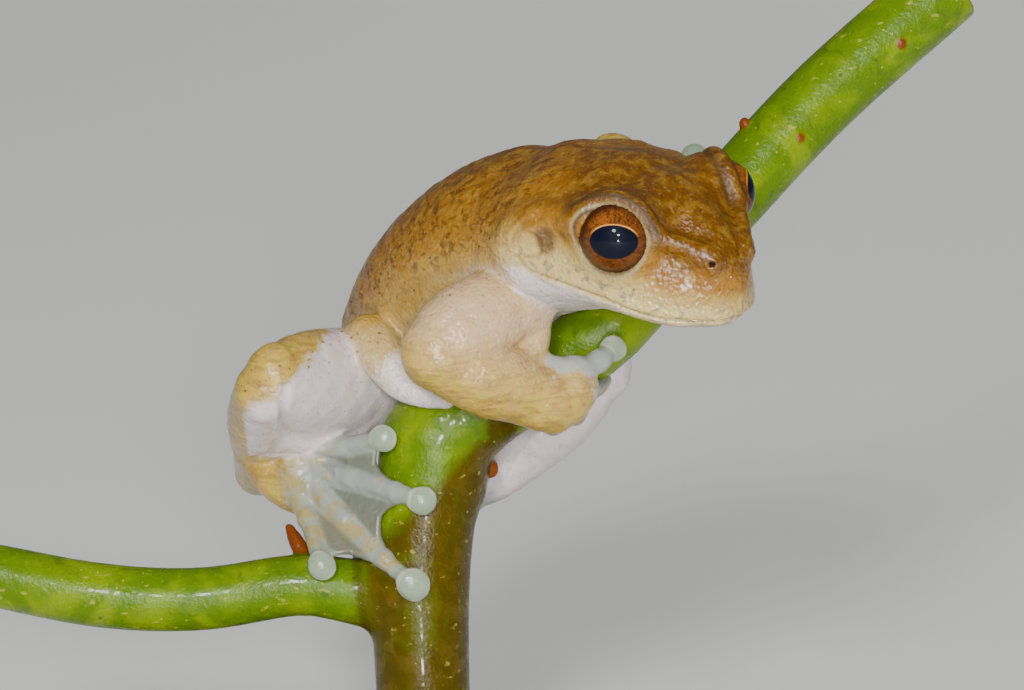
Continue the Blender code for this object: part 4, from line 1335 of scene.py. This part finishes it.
CREASES = (
    Crease(((-4.9, 7.1, -0.6), (-5.9, 7.55, -1.5), (-6.4, 7.5, -3.0), (-6.0, 7.45, -3.9), (-5.1, 7.3, -4.8),
            (-3.6, 6.8, -5.4)), 0.24, 0.2, True, 0.2),
    Crease(((-2.6, 7.0, -1.0), (-3.4, 7.1, -2.2), (-3.2, 7.0, -3.4)), 0.35, 0.08, True, 0.12),
    Crease(((1.7, -7.0, 39.7), (3.3, -6.5, 39.2), (5.2, -5.3, 39.3), (6.5, -3.1, 39.1)), 0.22, 0.14, False,
           0.1),
    Crease(((1.1, -6.3, 40.9), (2.0, -5.9, 41.6), (3.3, -5.4, 42.2)), 0.3, 0.08),
    Crease(((3.9, -6.1, 35.9), (5.9, -5.8, 35.8), (7.8, -4.6, 34.8)), 0.22, 0.07),
    Crease(((-8.8, -1.2, 35.7), (-9.0, -1.1, 34.5), (-9.2, 0.9, 32.4), (-9.8, 3.6, 30.1), (-10.7, 5.2, 29.0)),
           0.28, 0.36, False, 0.18),
    Crease(((-6.3, 4.4, 29.2), (-5.8, 4.0, 29.2), (-5.2, 3.5, 29.2)), 0.28, 0.12, False, 0.25),
    Crease(((-6.9, 4.5, 29.5), (-6.3, 4.0, 28.9), (-5.9, 3.6, 28.4)), 0.3, 0.16, False, 0.3),
    Crease(((-7.5, 3.7, 27.8), (-7.3, 3.5, 27.2), (-7.1, 3.2, 26.6)), 0.26, 0.12, False, 0.25),
    Crease(((-11.6, 6.1, 28.7), (-10.2, 4.8, 29.3), (-8.8, 4.8, 29.6), (-7.5, 4.6, 30.0)), 0.25, 0.22),
    Crease(((7.5, 6.1, 30.4), (6.5, 6.1, 28.9), (5.8, 6.1, 27.5)), 0.16, -0.16),
    Crease(((7.2, 5.4, 49.6), (8.8, 3.4, 50.6), (9.9, 2.2, 51.1)), 1.9, -0.5),
    Crease(((12.0, 1.6, 51.6), (15.0, 0.8, 51.5), (17.2, 3.0, 50.5)), 1.7, 0.42),
)


@dataclass
class SkinPaint:
    """Where each tone of the frog's skin lies, as masks from 0 to 1 on its vertices.

    Attributes:
        sizes: The frog's driving sizes.
        body: Its groups of forms.
        digits: All its fingers and toes.
        vertices: Points of the skin in millimetres.
        normals: Their normals.
        fade: How fast one group's share falls off towards the next.
    """

    sizes: FrogSizes
    body: Body
    digits: list[Digit]
    vertices: np.ndarray
    normals: np.ndarray
    fade: float = 0.3

    def __post_init__(self) -> None:
        """Works out places in the frog's axes and the share of each group."""
        axes = self.sizes.axes
        self.inner, self.folded = axes.inward(self.vertices), axes.folded(self.vertices)
        self.east, self.high = self.vertices[:, 0], self.vertices[:, 2]
        weights = {group.name: np.exp(-np.maximum(group.distance(self.vertices), 0.0) / self.fade)
                   for group in self.body.groups}
        total = sum(weights.values())
        self.share = {name: weight / total for name, weight in weights.items()}
        self.head = ramp(self.inner[:, 0], -8.6, -4.6) * self.share["body"]
        self.tip = sum(value for name, value in self.share.items() if name.endswith("_tip"))

    def turned(self, way: Point, low: float, high: float) -> np.ndarray:
        """1 where the skin faces this way of the model's frame."""
        return ramp(self.normals @ unit(way), low, high)

    def trunk_tones(self) -> dict[str, np.ndarray]:
        """Dark back to pale belly, the cream lip and the lilac throat and chest."""
        x, z, head = self.inner[:, 0], self.inner[:, 2], self.head
        height = self.body.groups[0].forms[0].section(self.inner)[0]
        snout = ramp(x, 0.5, 4.0)
        over_lip = np.clip((z + 5.3) / (6.6 - 2.2 * snout), 0.0, 1.0) * ramp(z, -5.4, -4.6)
        facing_up = (self.normals @ self.sizes.axes.turn)[:, 2]
        tone = (1.0 - head) * np.clip((height + 4.6) / 11.0, 0.0, 1.0) + head * (over_lip + 0.12 * facing_up)
        lip = head * ramp(z, -5.3, -4.6) * ramp(z + 1.1 * snout, -1.2, -3.6)
        chest = (1.0 - ramp(z, -5.3, -4.7)) * head
        chest = chest + (1.0 - head) * ramp(height, -2.4, -4.2) * ramp(x, -14.0, -10.0)
        jaw = head * ramp(z, -4.4, -4.8) * ramp(x, -2.0, 2.5) * ramp(z, -6.6, -5.6)
        return {"tone": tone, "lip": np.maximum(lip, jaw), "lilac": np.clip(chest - jaw, 0.0, 1.0)}

    def limb_tones(self) -> dict[str, np.ndarray]:
        """Gold and brown along the outer sides of the limbs, with painted shade on the shank's outer edge,
        and the rosy arm.
        """
        share, east, high = self.share, self.east, self.high
        leg = share["leg_right"]
        behind = self.turned((0.0, 1.0, 0.0), -0.1, 0.5)
        upper_side = self.turned((-0.5, -0.5, 0.6), 0.1, 0.7)
        knee = ramp(-0.6 * (east + 9.2) + 0.8 * (high - 35.4), -0.8, 1.2)
        outer = np.maximum(self.turned((-0.75, 0.5, 0.3), 0.15, 0.6), ramp(-east, 11.2, 12.0))
        # Painted shade: the shank's outer lower edge is browned.
        shank_edge_shade = self.turned((-1.0, 0.0, 0.0), 0.5, 0.95) * ramp(high, 35.0, 32.0)
        brown = leg * np.maximum(behind, 0.7 * shank_edge_shade)
        brown = brown + share["leg_left"] * behind * ramp(high, 46.6, 45.4) + share["arm_left"] * 0.5
        far_knee = np.maximum(self.turned((0.2, 0.5, 0.75), 0.0, 0.5), ramp(high, 46.0, 47.0))
        outer_arm = np.maximum(self.turned((-0.35, -0.55, -0.1), -0.35, 0.25), ramp(high, 36.6, 37.6))
        foot = 0.35 + 0.3 * ramp(0.5 * east + high, 24.8, 23.0)
        gold = leg * np.maximum(np.maximum(knee, 0.85 * outer), 0.9 * ramp(high, 29.6, 28.6))
        gold = gold + share["leg_left"] * far_knee + share["leg_right_tip"] * foot * upper_side
        gold = gold + share["leg_left_tip"] * 0.6 * upper_side + share["arm_right"] * outer_arm
        gold = gold + share["arm_right_tip"] * 0.7 * ramp(high, 35.8, 34.6)
        gold = gold + share["arm_left"] * self.turned((0.0, 1.0, 0.0), 0.1, 0.6)
        pink = share["arm_right"] * ramp(high + 0.3 * east, 37.6, 42.6) * 0.8
        return {"brown": brown, "gold": gold, "pink": pink}

    def digit_tones(self) -> dict[str, np.ndarray]:
        """Discs with their rims, webs darkened with painted shade between the toes, and the palm or sole
        between the digits.
        """
        webs = [form for group in self.body.groups for form in group.forms if isinstance(form, Web)]
        reaches = [(lengths(self.vertices - np.array(digit.keys[-1][:3])), digit.pad)
                   for digit in self.digits]
        disc = np.clip(sum(ramp(away, pad * 1.7, pad * 1.15) for away, pad in reaches), 0.0, 1.0)
        # Pale disc rims: partly the pads' own pale margin, partly a painted highlight.
        rim = np.clip(sum(bell(away / pad, 0.98, 0.07) for away, pad in reaches), 0.0, 1.0)
        shaft = self.nearest([Tube(digit.keys) for digit in self.digits])
        sheet = self.nearest(webs)
        return {"disc": disc * self.tip, "rim": rim * self.tip,
                "web": ramp(shaft, 0.02, 0.32) * ramp(sheet, 0.4, 0.12) * self.tip,
                "palm": ramp(shaft, 0.05, 0.6) * ramp(sheet, 0.1, 0.5) * (1.0 - disc)}

    def nearest(self, forms: Sequence[Form]) -> np.ndarray:
        """Distance to the nearest of these forms, for hands and feet alone."""
        result = np.full(len(self.vertices), FAR)
        toes = self.tip > 0.2
        for form in forms:
            result[toes] = np.minimum(result[toes], form.distance(self.vertices[toes]))
        return result

    def face_tones(self) -> dict[str, np.ndarray]:
        """Ring round the eyes, painted shade in the folds round them, in the nostrils and along the creases,
        and the patch by the eardrum.
        """
        sizes = self.sizes
        offset = self.folded - sizes.eye
        away, angle = sizes.eye_angle(offset)
        near = ramp(away, 4.2, 3.3)
        brow = bell(angle, sizes.brow_angle + 6.5 * ramp(-offset[:, 0], 0.5, 3.0), 3.2)
        fold = np.maximum(brow, 0.7 * bell(angle, sizes.fold_angle, 7.0)) * sizes.over_eye(offset)
        # Painted shade: a thin line round the eye's opening and the fold over the brow, then the nostrils and
        # the creases.
        dark = near * (0.9 * bell(angle, sizes.rim_angle, 1.5) + fold)
        dark = dark + ramp(lengths(self.folded - sizes.nostril), 0.5, 0.28)
        dark = dark + sum(crease.shade / crease.depth * crease.press(self.vertices, self.folded)
                          for crease in CREASES)
        patch = ramp(lengths((self.folded - (-4.3, 6.8, -2.1)) / (0.8, 2.0, 1.05)), 1.3, 0.6)
        return {"ring": near * bell(angle, sizes.ring_angle, 1.6), "dark": dark, "patch": patch}

    def masks(self) -> dict[str, np.ndarray]:
        """All masks by name."""
        x, z = self.inner[:, 0], self.inner[:, 2]
        made = {**self.trunk_tones(), **self.limb_tones(), **self.digit_tones(), **self.face_tones()}
        hand, foot, palm = self.share["arm_right_tip"], self.share["leg_right_tip"], made.pop("palm")
        tip = self.tip - palm * 0.8 * (hand + foot)
        gold = made["gold"] + palm * (hand + 0.3 * foot)
        shin = self.share["leg_right"] * ramp(self.high, 34.0, 31.5)
        wet = self.head * ramp(x, 1.0, 3.0) * ramp(z, 0.6, -0.6) + made["pink"] + 0.8 * tip + shin
        made.update(gold=gold, wet=wet, limb=1.0 - self.share["body"])
        for name in ("gold", "wet", "limb", "dark", "pink"):
            made[name] = np.clip(made[name], 0.0, 1.0)
        return {**made, "head": self.head, "tip": tip}


@dataclass
class Frog:
    """The frog's skin and eyes.

    Attributes:
        sizes: Its driving sizes.
        mesher: Draws the skin.
        lump: Height of the skin's broad unevenness.
        ripple: Height of its fine unevenness.
    """

    sizes: FrogSizes
    mesher: SkinMesher
    lump: float = 0.06
    ripple: float = 0.02

    def body_forms(self) -> list[Form]:
        """Trunk, head, belly bulge, and on each side the lids, nostril mound, fold and snout ridge."""
        sizes, axes = self.sizes, self.sizes.axes
        bulge = [(-3.6, 5.8, 37.3, 1.5), (-2.1, 4.1, 35.8, 1.5), (-1.1, 2.7, 34.8, 1.1),
                 (0.3, 1.8, 34.3, 0.8), (1.6, 1.3, 34.2, 0.6)]
        fold = ((-2.2, 5.5, 0.0, 0.8), (-4.0, 5.9, -0.6, 0.9), (-5.8, 6.5, -1.5, 0.9),
                (-7.0, 6.7, -2.8, 0.85), (-7.2, 6.6, -4.3, 0.8), (-6.3, 6.1, -5.5, 0.8))
        ridge = ((2.3, 3.6, 0.35, 0.5), (3.8, 2.5, 0.0, 0.55), (5.0, 1.4, -0.4, 0.4))
        forms: list[Form] = [Trunk(axes, sizes.trunk),
                             Head(axes, sizes.outline, sizes.crown, sizes.throat, sizes.mouth),
                             Tube(bulge, 0.9, 14)]
        for side in Side:
            def keys(rows: Path) -> Path:
                """Keys of the frog's axes on this side, in the model's frame."""
                return [(*axes.outward(sizes.at_side(row[:3], side)), *row[3:]) for row in rows]

            gaze = unit(sizes.at_side(sizes.gaze, side))
            mound = keys([(4.9, 1.5, -0.85)])[0]
            forms += [Lid(axes, sizes.at_side(sizes.eye, side), gaze, sizes.opening),
                      Ball(mound, (0.95, 0.8, 0.75), 0.7, axes.turn), Tube(keys(fold), 1.4, 20),
                      Tube(keys(ridge), 0.9, 8)]
        return forms

    def carve_eyes(self, points: np.ndarray, distance: np.ndarray) -> np.ndarray:
        """Sinks a fold over the brow and hollows the sockets out for the eyeballs."""
        sizes = self.sizes
        offset = sizes.axes.folded(points) - sizes.eye
        away, angle = sizes.eye_angle(offset)
        above = sizes.over_eye(offset) * ramp(away, 4.4, 3.2)
        groove, crest = bell(angle, sizes.fold_angle, 5.0), bell(angle, sizes.crest_angle, 6.0)
        distance = distance + 0.16 * above * (groove - 0.6 * crest)
        overlap = 0.02
        return smooth_max(distance, sizes.eye_radius - overlap - away, 0.1)

    def carve_nostrils(self, points: np.ndarray, distance: np.ndarray) -> np.ndarray:
        """Bores the nostrils and sinks the eardrums a little."""
        sizes = self.sizes
        folded = sizes.axes.folded(points)
        way, radius = unit(sizes.nostril_faces), sizes.nostril_radius
        offset = folded - np.array(sizes.nostril)
        depth = offset @ way
        across = lengths(offset - depth[:, None] * way)
        hole = np.hypot(across / radius, (depth - 0.3) / 0.6) - 1.0
        distance = smooth_max(distance, -hole * radius, 0.14)
        drum = lengths((folded - np.array(sizes.drum)) * (1.0, 0.4, 1.0))
        return distance + 0.16 * ramp(drum, 1.15, 0.95) - 0.1 * bell(drum, 1.3, 0.2)

    def fold_skin(self, points: np.ndarray, distance: np.ndarray) -> np.ndarray:
        """Makes the skin a little uneven, with its creases."""
        folded = self.sizes.axes.folded(points)
        x, y, z = points.T
        calm = ramp(lengths(folded - self.sizes.eye), 3.3, 4.6)
        lumps = np.sin(1.9 * x + 0.7 * y) * np.sin(1.7 * y - 0.5 * z + 1.0) * np.sin(1.8 * z + 0.6 * x + 2.0)
        ripples = np.sin(5.1 * x + 1.3 * lumps) * np.sin(4.6 * y - 1.2 * x + 0.5) * np.sin(5.5 * z + 1.1 * y)
        distance = distance - calm * (self.lump * lumps + self.ripple * ripples)
        for crease in CREASES:
            distance = distance + crease.press(points, folded)
        return distance

    def build(self) -> list[bpy.types.Object]:
        """Makes the skin and the eyes."""
        limbs = [self.sizes.arm_left(), self.sizes.leg_left(), self.sizes.leg_right(), self.sizes.arm_right()]
        groups = [Group("body", self.body_forms(), 0.5)]
        groups += [group for limb in limbs for group in limb.groups()]
        body = Body(groups, [self.fold_skin, self.carve_eyes, self.carve_nostrils])
        vertices, faces = self.mesher.draw(body)
        log.info("frog skin: %d vertices", len(vertices))
        digits = [digit for limb in limbs for digit in limb.digits]
        paint = SkinPaint(self.sizes, body, digits, vertices, vertex_normals(vertices, faces))
        skin = make_mesh("frog_skin", vertices, faces, paint.masks())
        SkinFinish().make().dress(skin)
        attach(skin, "root")
        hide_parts("head", "torso", *[f"{part}_{side}" for side in ("right", "left") for part in (
            "upper_arm", "forearm", "hand", "thigh", "shank", "ankle", "foot")])
        finish = EyeFinish().make()
        eyes = [self.eyeball(side) for side in Side]
        for eye in eyes:
            finish.dress(eye)
        return [skin, *eyes]

    def eyeball(self, side: Side) -> bpy.types.Object:
        """One eyeball, its local z along the gaze, with a slight bulge of the cornea."""
        sizes = self.sizes
        gaze = Vector(sizes.axes.outward_turn(unit(sizes.at_side(sizes.look, side))))
        across = Vector((0.0, 0.0, 1.0)).cross(gaze).normalized()
        turn = Matrix((across, gaze.cross(across), gaze)).transposed()
        rings, around, radius, bulge = 64, 96, sizes.eye_radius, 0.14
        profile = []
        for angle in np.linspace(0.0, math.pi, rings + 1)[1:-1]:
            out = radius + bulge * float(ramp(angle, 1.1, 0.2))
            profile.append((out * math.sin(angle), out * math.cos(angle)))
        rows = lathe_rows(profile, around) + [(0.0, 0.0, radius + bulge), (0.0, 0.0, -radius)]
        top, foot, last = len(rows) - 2, len(rows) - 1, (rings - 2) * around
        faces: list[tuple[int, ...]] = lathe_faces(rings - 1, around, closed=False)
        for n in range(around):
            faces += [(top, n, (n + 1) % around), (foot, last + (n + 1) % around, last + n)]
        eye = make_mesh(f"eyeball_{side.name.lower()}", np.array(rows), faces)
        place = Vector(sizes.axes.outward(sizes.at_side(sizes.eye, side))) * METRES
        eye.matrix_world = Matrix.Translation(place) @ turn.to_4x4()
        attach(eye, "root")
        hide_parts(f"eye_{side.name.lower()}")
        return eye


@dataclass
class Plant:
    """The forked stem, its three ends cut square.

    Attributes:
        mesher: Draws the skin.
        stem: Keys of the lower part, from its foot up.
        upper: Keys of the part that runs on past the frog.
        branch: Keys of the side branch.
        knobs: Place and radius of each bud.
    """

    mesher: SkinMesher
    stem: Path = ((0.1, 0.0, 13.4, 3.1), (-0.1, 1.4, 20.3, 3.25), (0.2, 2.9, 25.4, 3.35),
                  (0.7, 3.9, 28.0, 3.7), (1.2, 4.6, 30.8, 3.7), (3.6, 4.8, 33.2, 3.1), (6.5, 4.3, 35.0, 2.6))
    upper: Path = ((3.6, 4.8, 32.6, 2.8), (6.5, 4.3, 34.4, 2.65), (11.8, 3.7, 37.9, 2.5),
                   (15.8, 5.8, 41.9, 2.5), (19.5, 8.1, 45.2, 2.5), (26.6, 11.4, 52.2, 2.55),
                   (35.4, 14.3, 59.5, 2.55))
    branch: Path = ((-1.5, 1.6, 21.1, 2.4), (-4.1, 1.5, 20.8, 2.2), (-8.1, 1.6, 21.3, 2.05),
                    (-14.8, 1.6, 20.3, 2.1), (-21.5, 1.8, 20.5, 2.15), (-29.1, 2.7, 21.7, 2.1))
    knobs: tuple[tuple[Point, float], ...] = (
        ((4.6, 4.2, 28.6), 0.5), ((21.5, 9.6, 50.9), 0.38), ((25.1, 8.2, 50.3), 0.26),
        ((31.9, 10.6, 56.2), 0.28))

    def cut(self, points: np.ndarray, distance: np.ndarray) -> np.ndarray:
        """Cuts the three ends square."""
        for path in (self.stem[::-1], self.upper, self.branch):
            tip, way = self.end_of(path)
            near = lengths(points - tip) < 7.0
            distance = np.where(near, smooth_max(distance, (points - tip) @ way, 0.3), distance)
        return distance

    @staticmethod
    def end_of(path: Path) -> tuple[np.ndarray, np.ndarray]:
        """A path's last point and the way that it runs there."""
        tip = np.array(path[-1][:3])
        return tip, unit(tip - np.array(path[-2][:3]))

    def buds(self) -> list[Form]:
        """The small red scales and buds on the plant."""
        scale = Tube([(-7.6, 2.4, 22.6, 0.5), (-8.3, 3.2, 23.6, 0.55), (-8.9, 3.8, 24.6, 0.3)], 0.2, 8)
        return [scale] + [Ball(place, (size, size, 1.3 * size), 0.15) for place, size in self.knobs]

    def build(self) -> bpy.types.Object:
        """Makes the plant's skin."""
        forms: list[Form] = [Tube(self.stem, 0.5, 20), Tube(self.upper, 1.6, 24), Tube(self.branch, 1.6, 20)]
        forms += self.buds()
        vertices, faces = self.mesher.draw(Body([Group("plant", forms, 0.3)], [self.cut]))
        log.info("plant skin: %d vertices", len(vertices))
        plant = make_mesh("plant_skin", vertices, faces, self.paint(vertices))
        StemFinish().make().dress(plant)
        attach(plant, "root")
        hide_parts("perch_stem", "perch_upper", "perch_branch")
        return plant

    def paint(self, vertices: np.ndarray) -> dict[str, np.ndarray]:
        """Where the plant is brown, cut, ringed or scarred."""
        x, z = vertices[:, 0], vertices[:, 2]
        edge = ramp(lengths((vertices - (5.3, 2.6, 32.2)) / (0.9, 2.0, 1.3)), 1.9, 0.7)
        brown = np.maximum(ramp(z - (x - 1.0), 30.4, 27.0) * ramp(x, -6.5, -2.0) * ramp(z, 32.0, 31.0), edge)
        pith = np.zeros(len(vertices))
        for path in (self.upper, self.branch):
            (tip, way), radius = self.end_of(path), path[-1][3]
            on_cut = ramp((vertices - tip) @ way, -0.25, -0.1)
            pith = np.maximum(pith, on_cut * ramp(lengths(vertices - tip), radius - 0.1, radius - 0.4))
        collar = np.abs((vertices - (-4.0, 1.5, 20.9)) @ unit((1.0, 0.0, 0.15)))
        ring = ramp(collar, 0.5, 0.1) * ramp(x, 0.0, -2.0) * 0.6
        scar = sum(ramp(bud.distance(vertices), 0.12, 0.02) for bud in self.buds())
        return {"brown": brown, "pith": pith, "ring": ring, "scar": scar}


@dataclass(frozen=True)
class WoodFinish:
    """Dark satin wood with long grain and fine pores."""

    ground: Colour = (0.035, 0.02, 0.012)
    grain: Colour = (0.075, 0.042, 0.024)
    pore: Colour = (0.012, 0.008, 0.006)

    def make(self) -> Shader:
        """Builds the shader."""
        s = Shader("dark_wood", Roughness=0.5, Coat_Weight=0.15, Coat_Roughness=0.35)
        grain = s.noise(1.4, 5.0, s.place((0.12, 1.0, 1.0)), 0.9)
        pores = s.noise(0.25, 3.0, s.place((0.06, 1.0, 1.0)))
        s.feed("Base Color", s.layers(self.ground, (grain.step(0.35, 0.65), self.grain),
                                      (pores.step(0.58, 0.75) * 0.7, self.pore)))
        s.bump(pores * -0.6 + grain * 0.4, 0.06, 0.5)
        return s


@dataclass(frozen=True)
class SteelFinish:
    """Steel brushed round the rod."""

    colour: Colour = (0.58, 0.58, 0.6)

    def make(self) -> Shader:
        """Builds the shader."""
        s = Shader("brushed_steel", Base_Color=self.colour, Metallic=1.0)
        s.feed("Roughness", 0.26 + s.noise(0.12, 2.0, s.place((1.0, 1.0, 12.0))) * 0.16)
        return s


@dataclass
class Stand:
    """The added base and rod: the CAD solids with better finishes, and a collar where rod and base meet.

    Attributes:
        rod_radius: Radius of the rod.
        base_top: Height of the base's upper face.
        collar: Rows of offset from the rod and height over the base, round the collar's section.
    """

    rod_radius: float = 1.5
    base_top: float = 4.0
    collar: Path = ((0.01, 0.0), (1.1, 0.0), (1.1, 0.45), (0.8, 0.75), (0.01, 0.8))

    def dress(self) -> bpy.types.Object:
        """Gives the wood and the steel their finishes and adds the collar."""
        steel = SteelFinish().make()
        WoodFinish().make().dress(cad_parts["stand_base"])
        steel.dress(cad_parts["stand_rod"])
        around = 48
        profile = [(self.rod_radius + out, self.base_top + rise) for out, rise in self.collar]
        faces = [face[::-1] for face in lathe_faces(len(profile), around, closed=True)]
        collar = make_mesh("rod_collar", np.array(lathe_rows(profile, around)), faces)
        collar.data.shade_flat()
        steel.dress(collar)
        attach(collar, "root")
        return collar


@dataclass
class Lamp:
    """One soft round light.

    Attributes:
        name: Its name.
        place: Where it stands, in metres.
        size: Diameter in metres.
        power: Watts.
        glints: Whether wet surfaces show its reflection.
    """

    name: str
    place: Point
    size: float
    power: float
    glints: bool = False

    def build(self, target: Point) -> None:
        """Makes the light, turned to its target."""
        light = bpy.data.lights.new(self.name, "AREA")
        light.shape = "DISK"
        light.size = self.size
        light.energy = self.power
        lamp = bpy.data.objects.new(self.name, light)
        lamp.location = self.place
        lamp.visible_glossy = self.glints
        lamp.rotation_euler = (Vector(target) - Vector(self.place)).to_track_quat("-Z", "Y").to_euler()
        bpy.context.scene.collection.objects.link(lamp)


@dataclass
class Studio:
    """Floor, soft lights and the camera at the photo's angle.

    Attributes:
        place: Where the camera stands, in metres.
        tilt: Angle of its view up from straight down, in degrees.
        lens: Focal length in millimetres, on a sensor 36 mm wide.
        target: What the lights point at, in metres.
        world: Strength of the even light from all round.
        lamps: The lights.
    """

    place: Point = (0.0060, -0.3155, 0.1228)
    tilt: float = 75.0
    lens: float = 175.5
    target: Point = (0.003, 0.0, 0.035)
    world: float = 0.13
    lamps: tuple[Lamp, ...] = (
        Lamp("key", (-0.08, -0.44, 0.30), 0.1, 2.2, True),
        Lamp("front", (0.03, -0.42, 0.16), 0.05, 1.2, True),
        Lamp("low", (0.02, -0.40, 0.03), 0.03, 0.6, True),
        Lamp("fill", (0.45, -0.3, 0.25), 0.3, 0.5),
        Lamp("top", (-0.1, 0.12, 0.55), 0.35, 0.8),
        Lamp("back", (0.15, 0.5, 0.3), 0.4, 0.9))

    def build(self) -> bpy.types.Object:
        """Makes the floor, the world, the lights and the camera."""
        scene = bpy.context.scene
        corners = [(-2000, -1200, 0), (2000, -1200, 0), (2000, 3000, 0), (-2000, 3000, 0)]
        floor = make_mesh("floor", np.array(corners), [(0, 1, 2, 3)])
        paint = Shader("pale_floor", Base_Color=(0.68, 0.675, 0.66), Roughness=0.7, Specular_IOR_Level=0.2)
        paint.dress(floor)
        camera = bpy.data.objects.new("camera", bpy.data.cameras.new("camera"))
        camera.location = self.place
        camera.rotation_euler = (math.radians(self.tilt), 0.0, 0.0)
        camera.data.lens = self.lens
        camera.data.sensor_width = 36.0
        camera.data.clip_start = 0.01
        scene.collection.objects.link(camera)
        scene.camera = camera
        world = bpy.data.worlds.new("world")
        world.use_nodes = True
        background = world.node_tree.nodes["Background"].inputs
        background["Color"].default_value = (0.9, 0.95, 1.0, 1.0)
        background["Strength"].default_value = self.world
        scene.world = world
        for lamp in self.lamps:
            lamp.build(self.target)
        return floor


def main() -> None:
    """Builds every piece, the floor, the light and the camera."""
    logging.basicConfig(level=logging.INFO, format="%(name)s: %(message)s")
    coarser = 1.0
    frog = Frog(FrogSizes(), SkinMesher(FROG_PITCH * coarser))
    log.info("frog: %s", [piece.name for piece in frog.build()])
    log.info("plant: %s", Plant(SkinMesher(PLANT_PITCH * coarser)).build().name)
    log.info("stand: %s", Stand().dress().name)
    log.info("studio: %s", Studio().build().name)


if __name__ == "__main__":
    main()
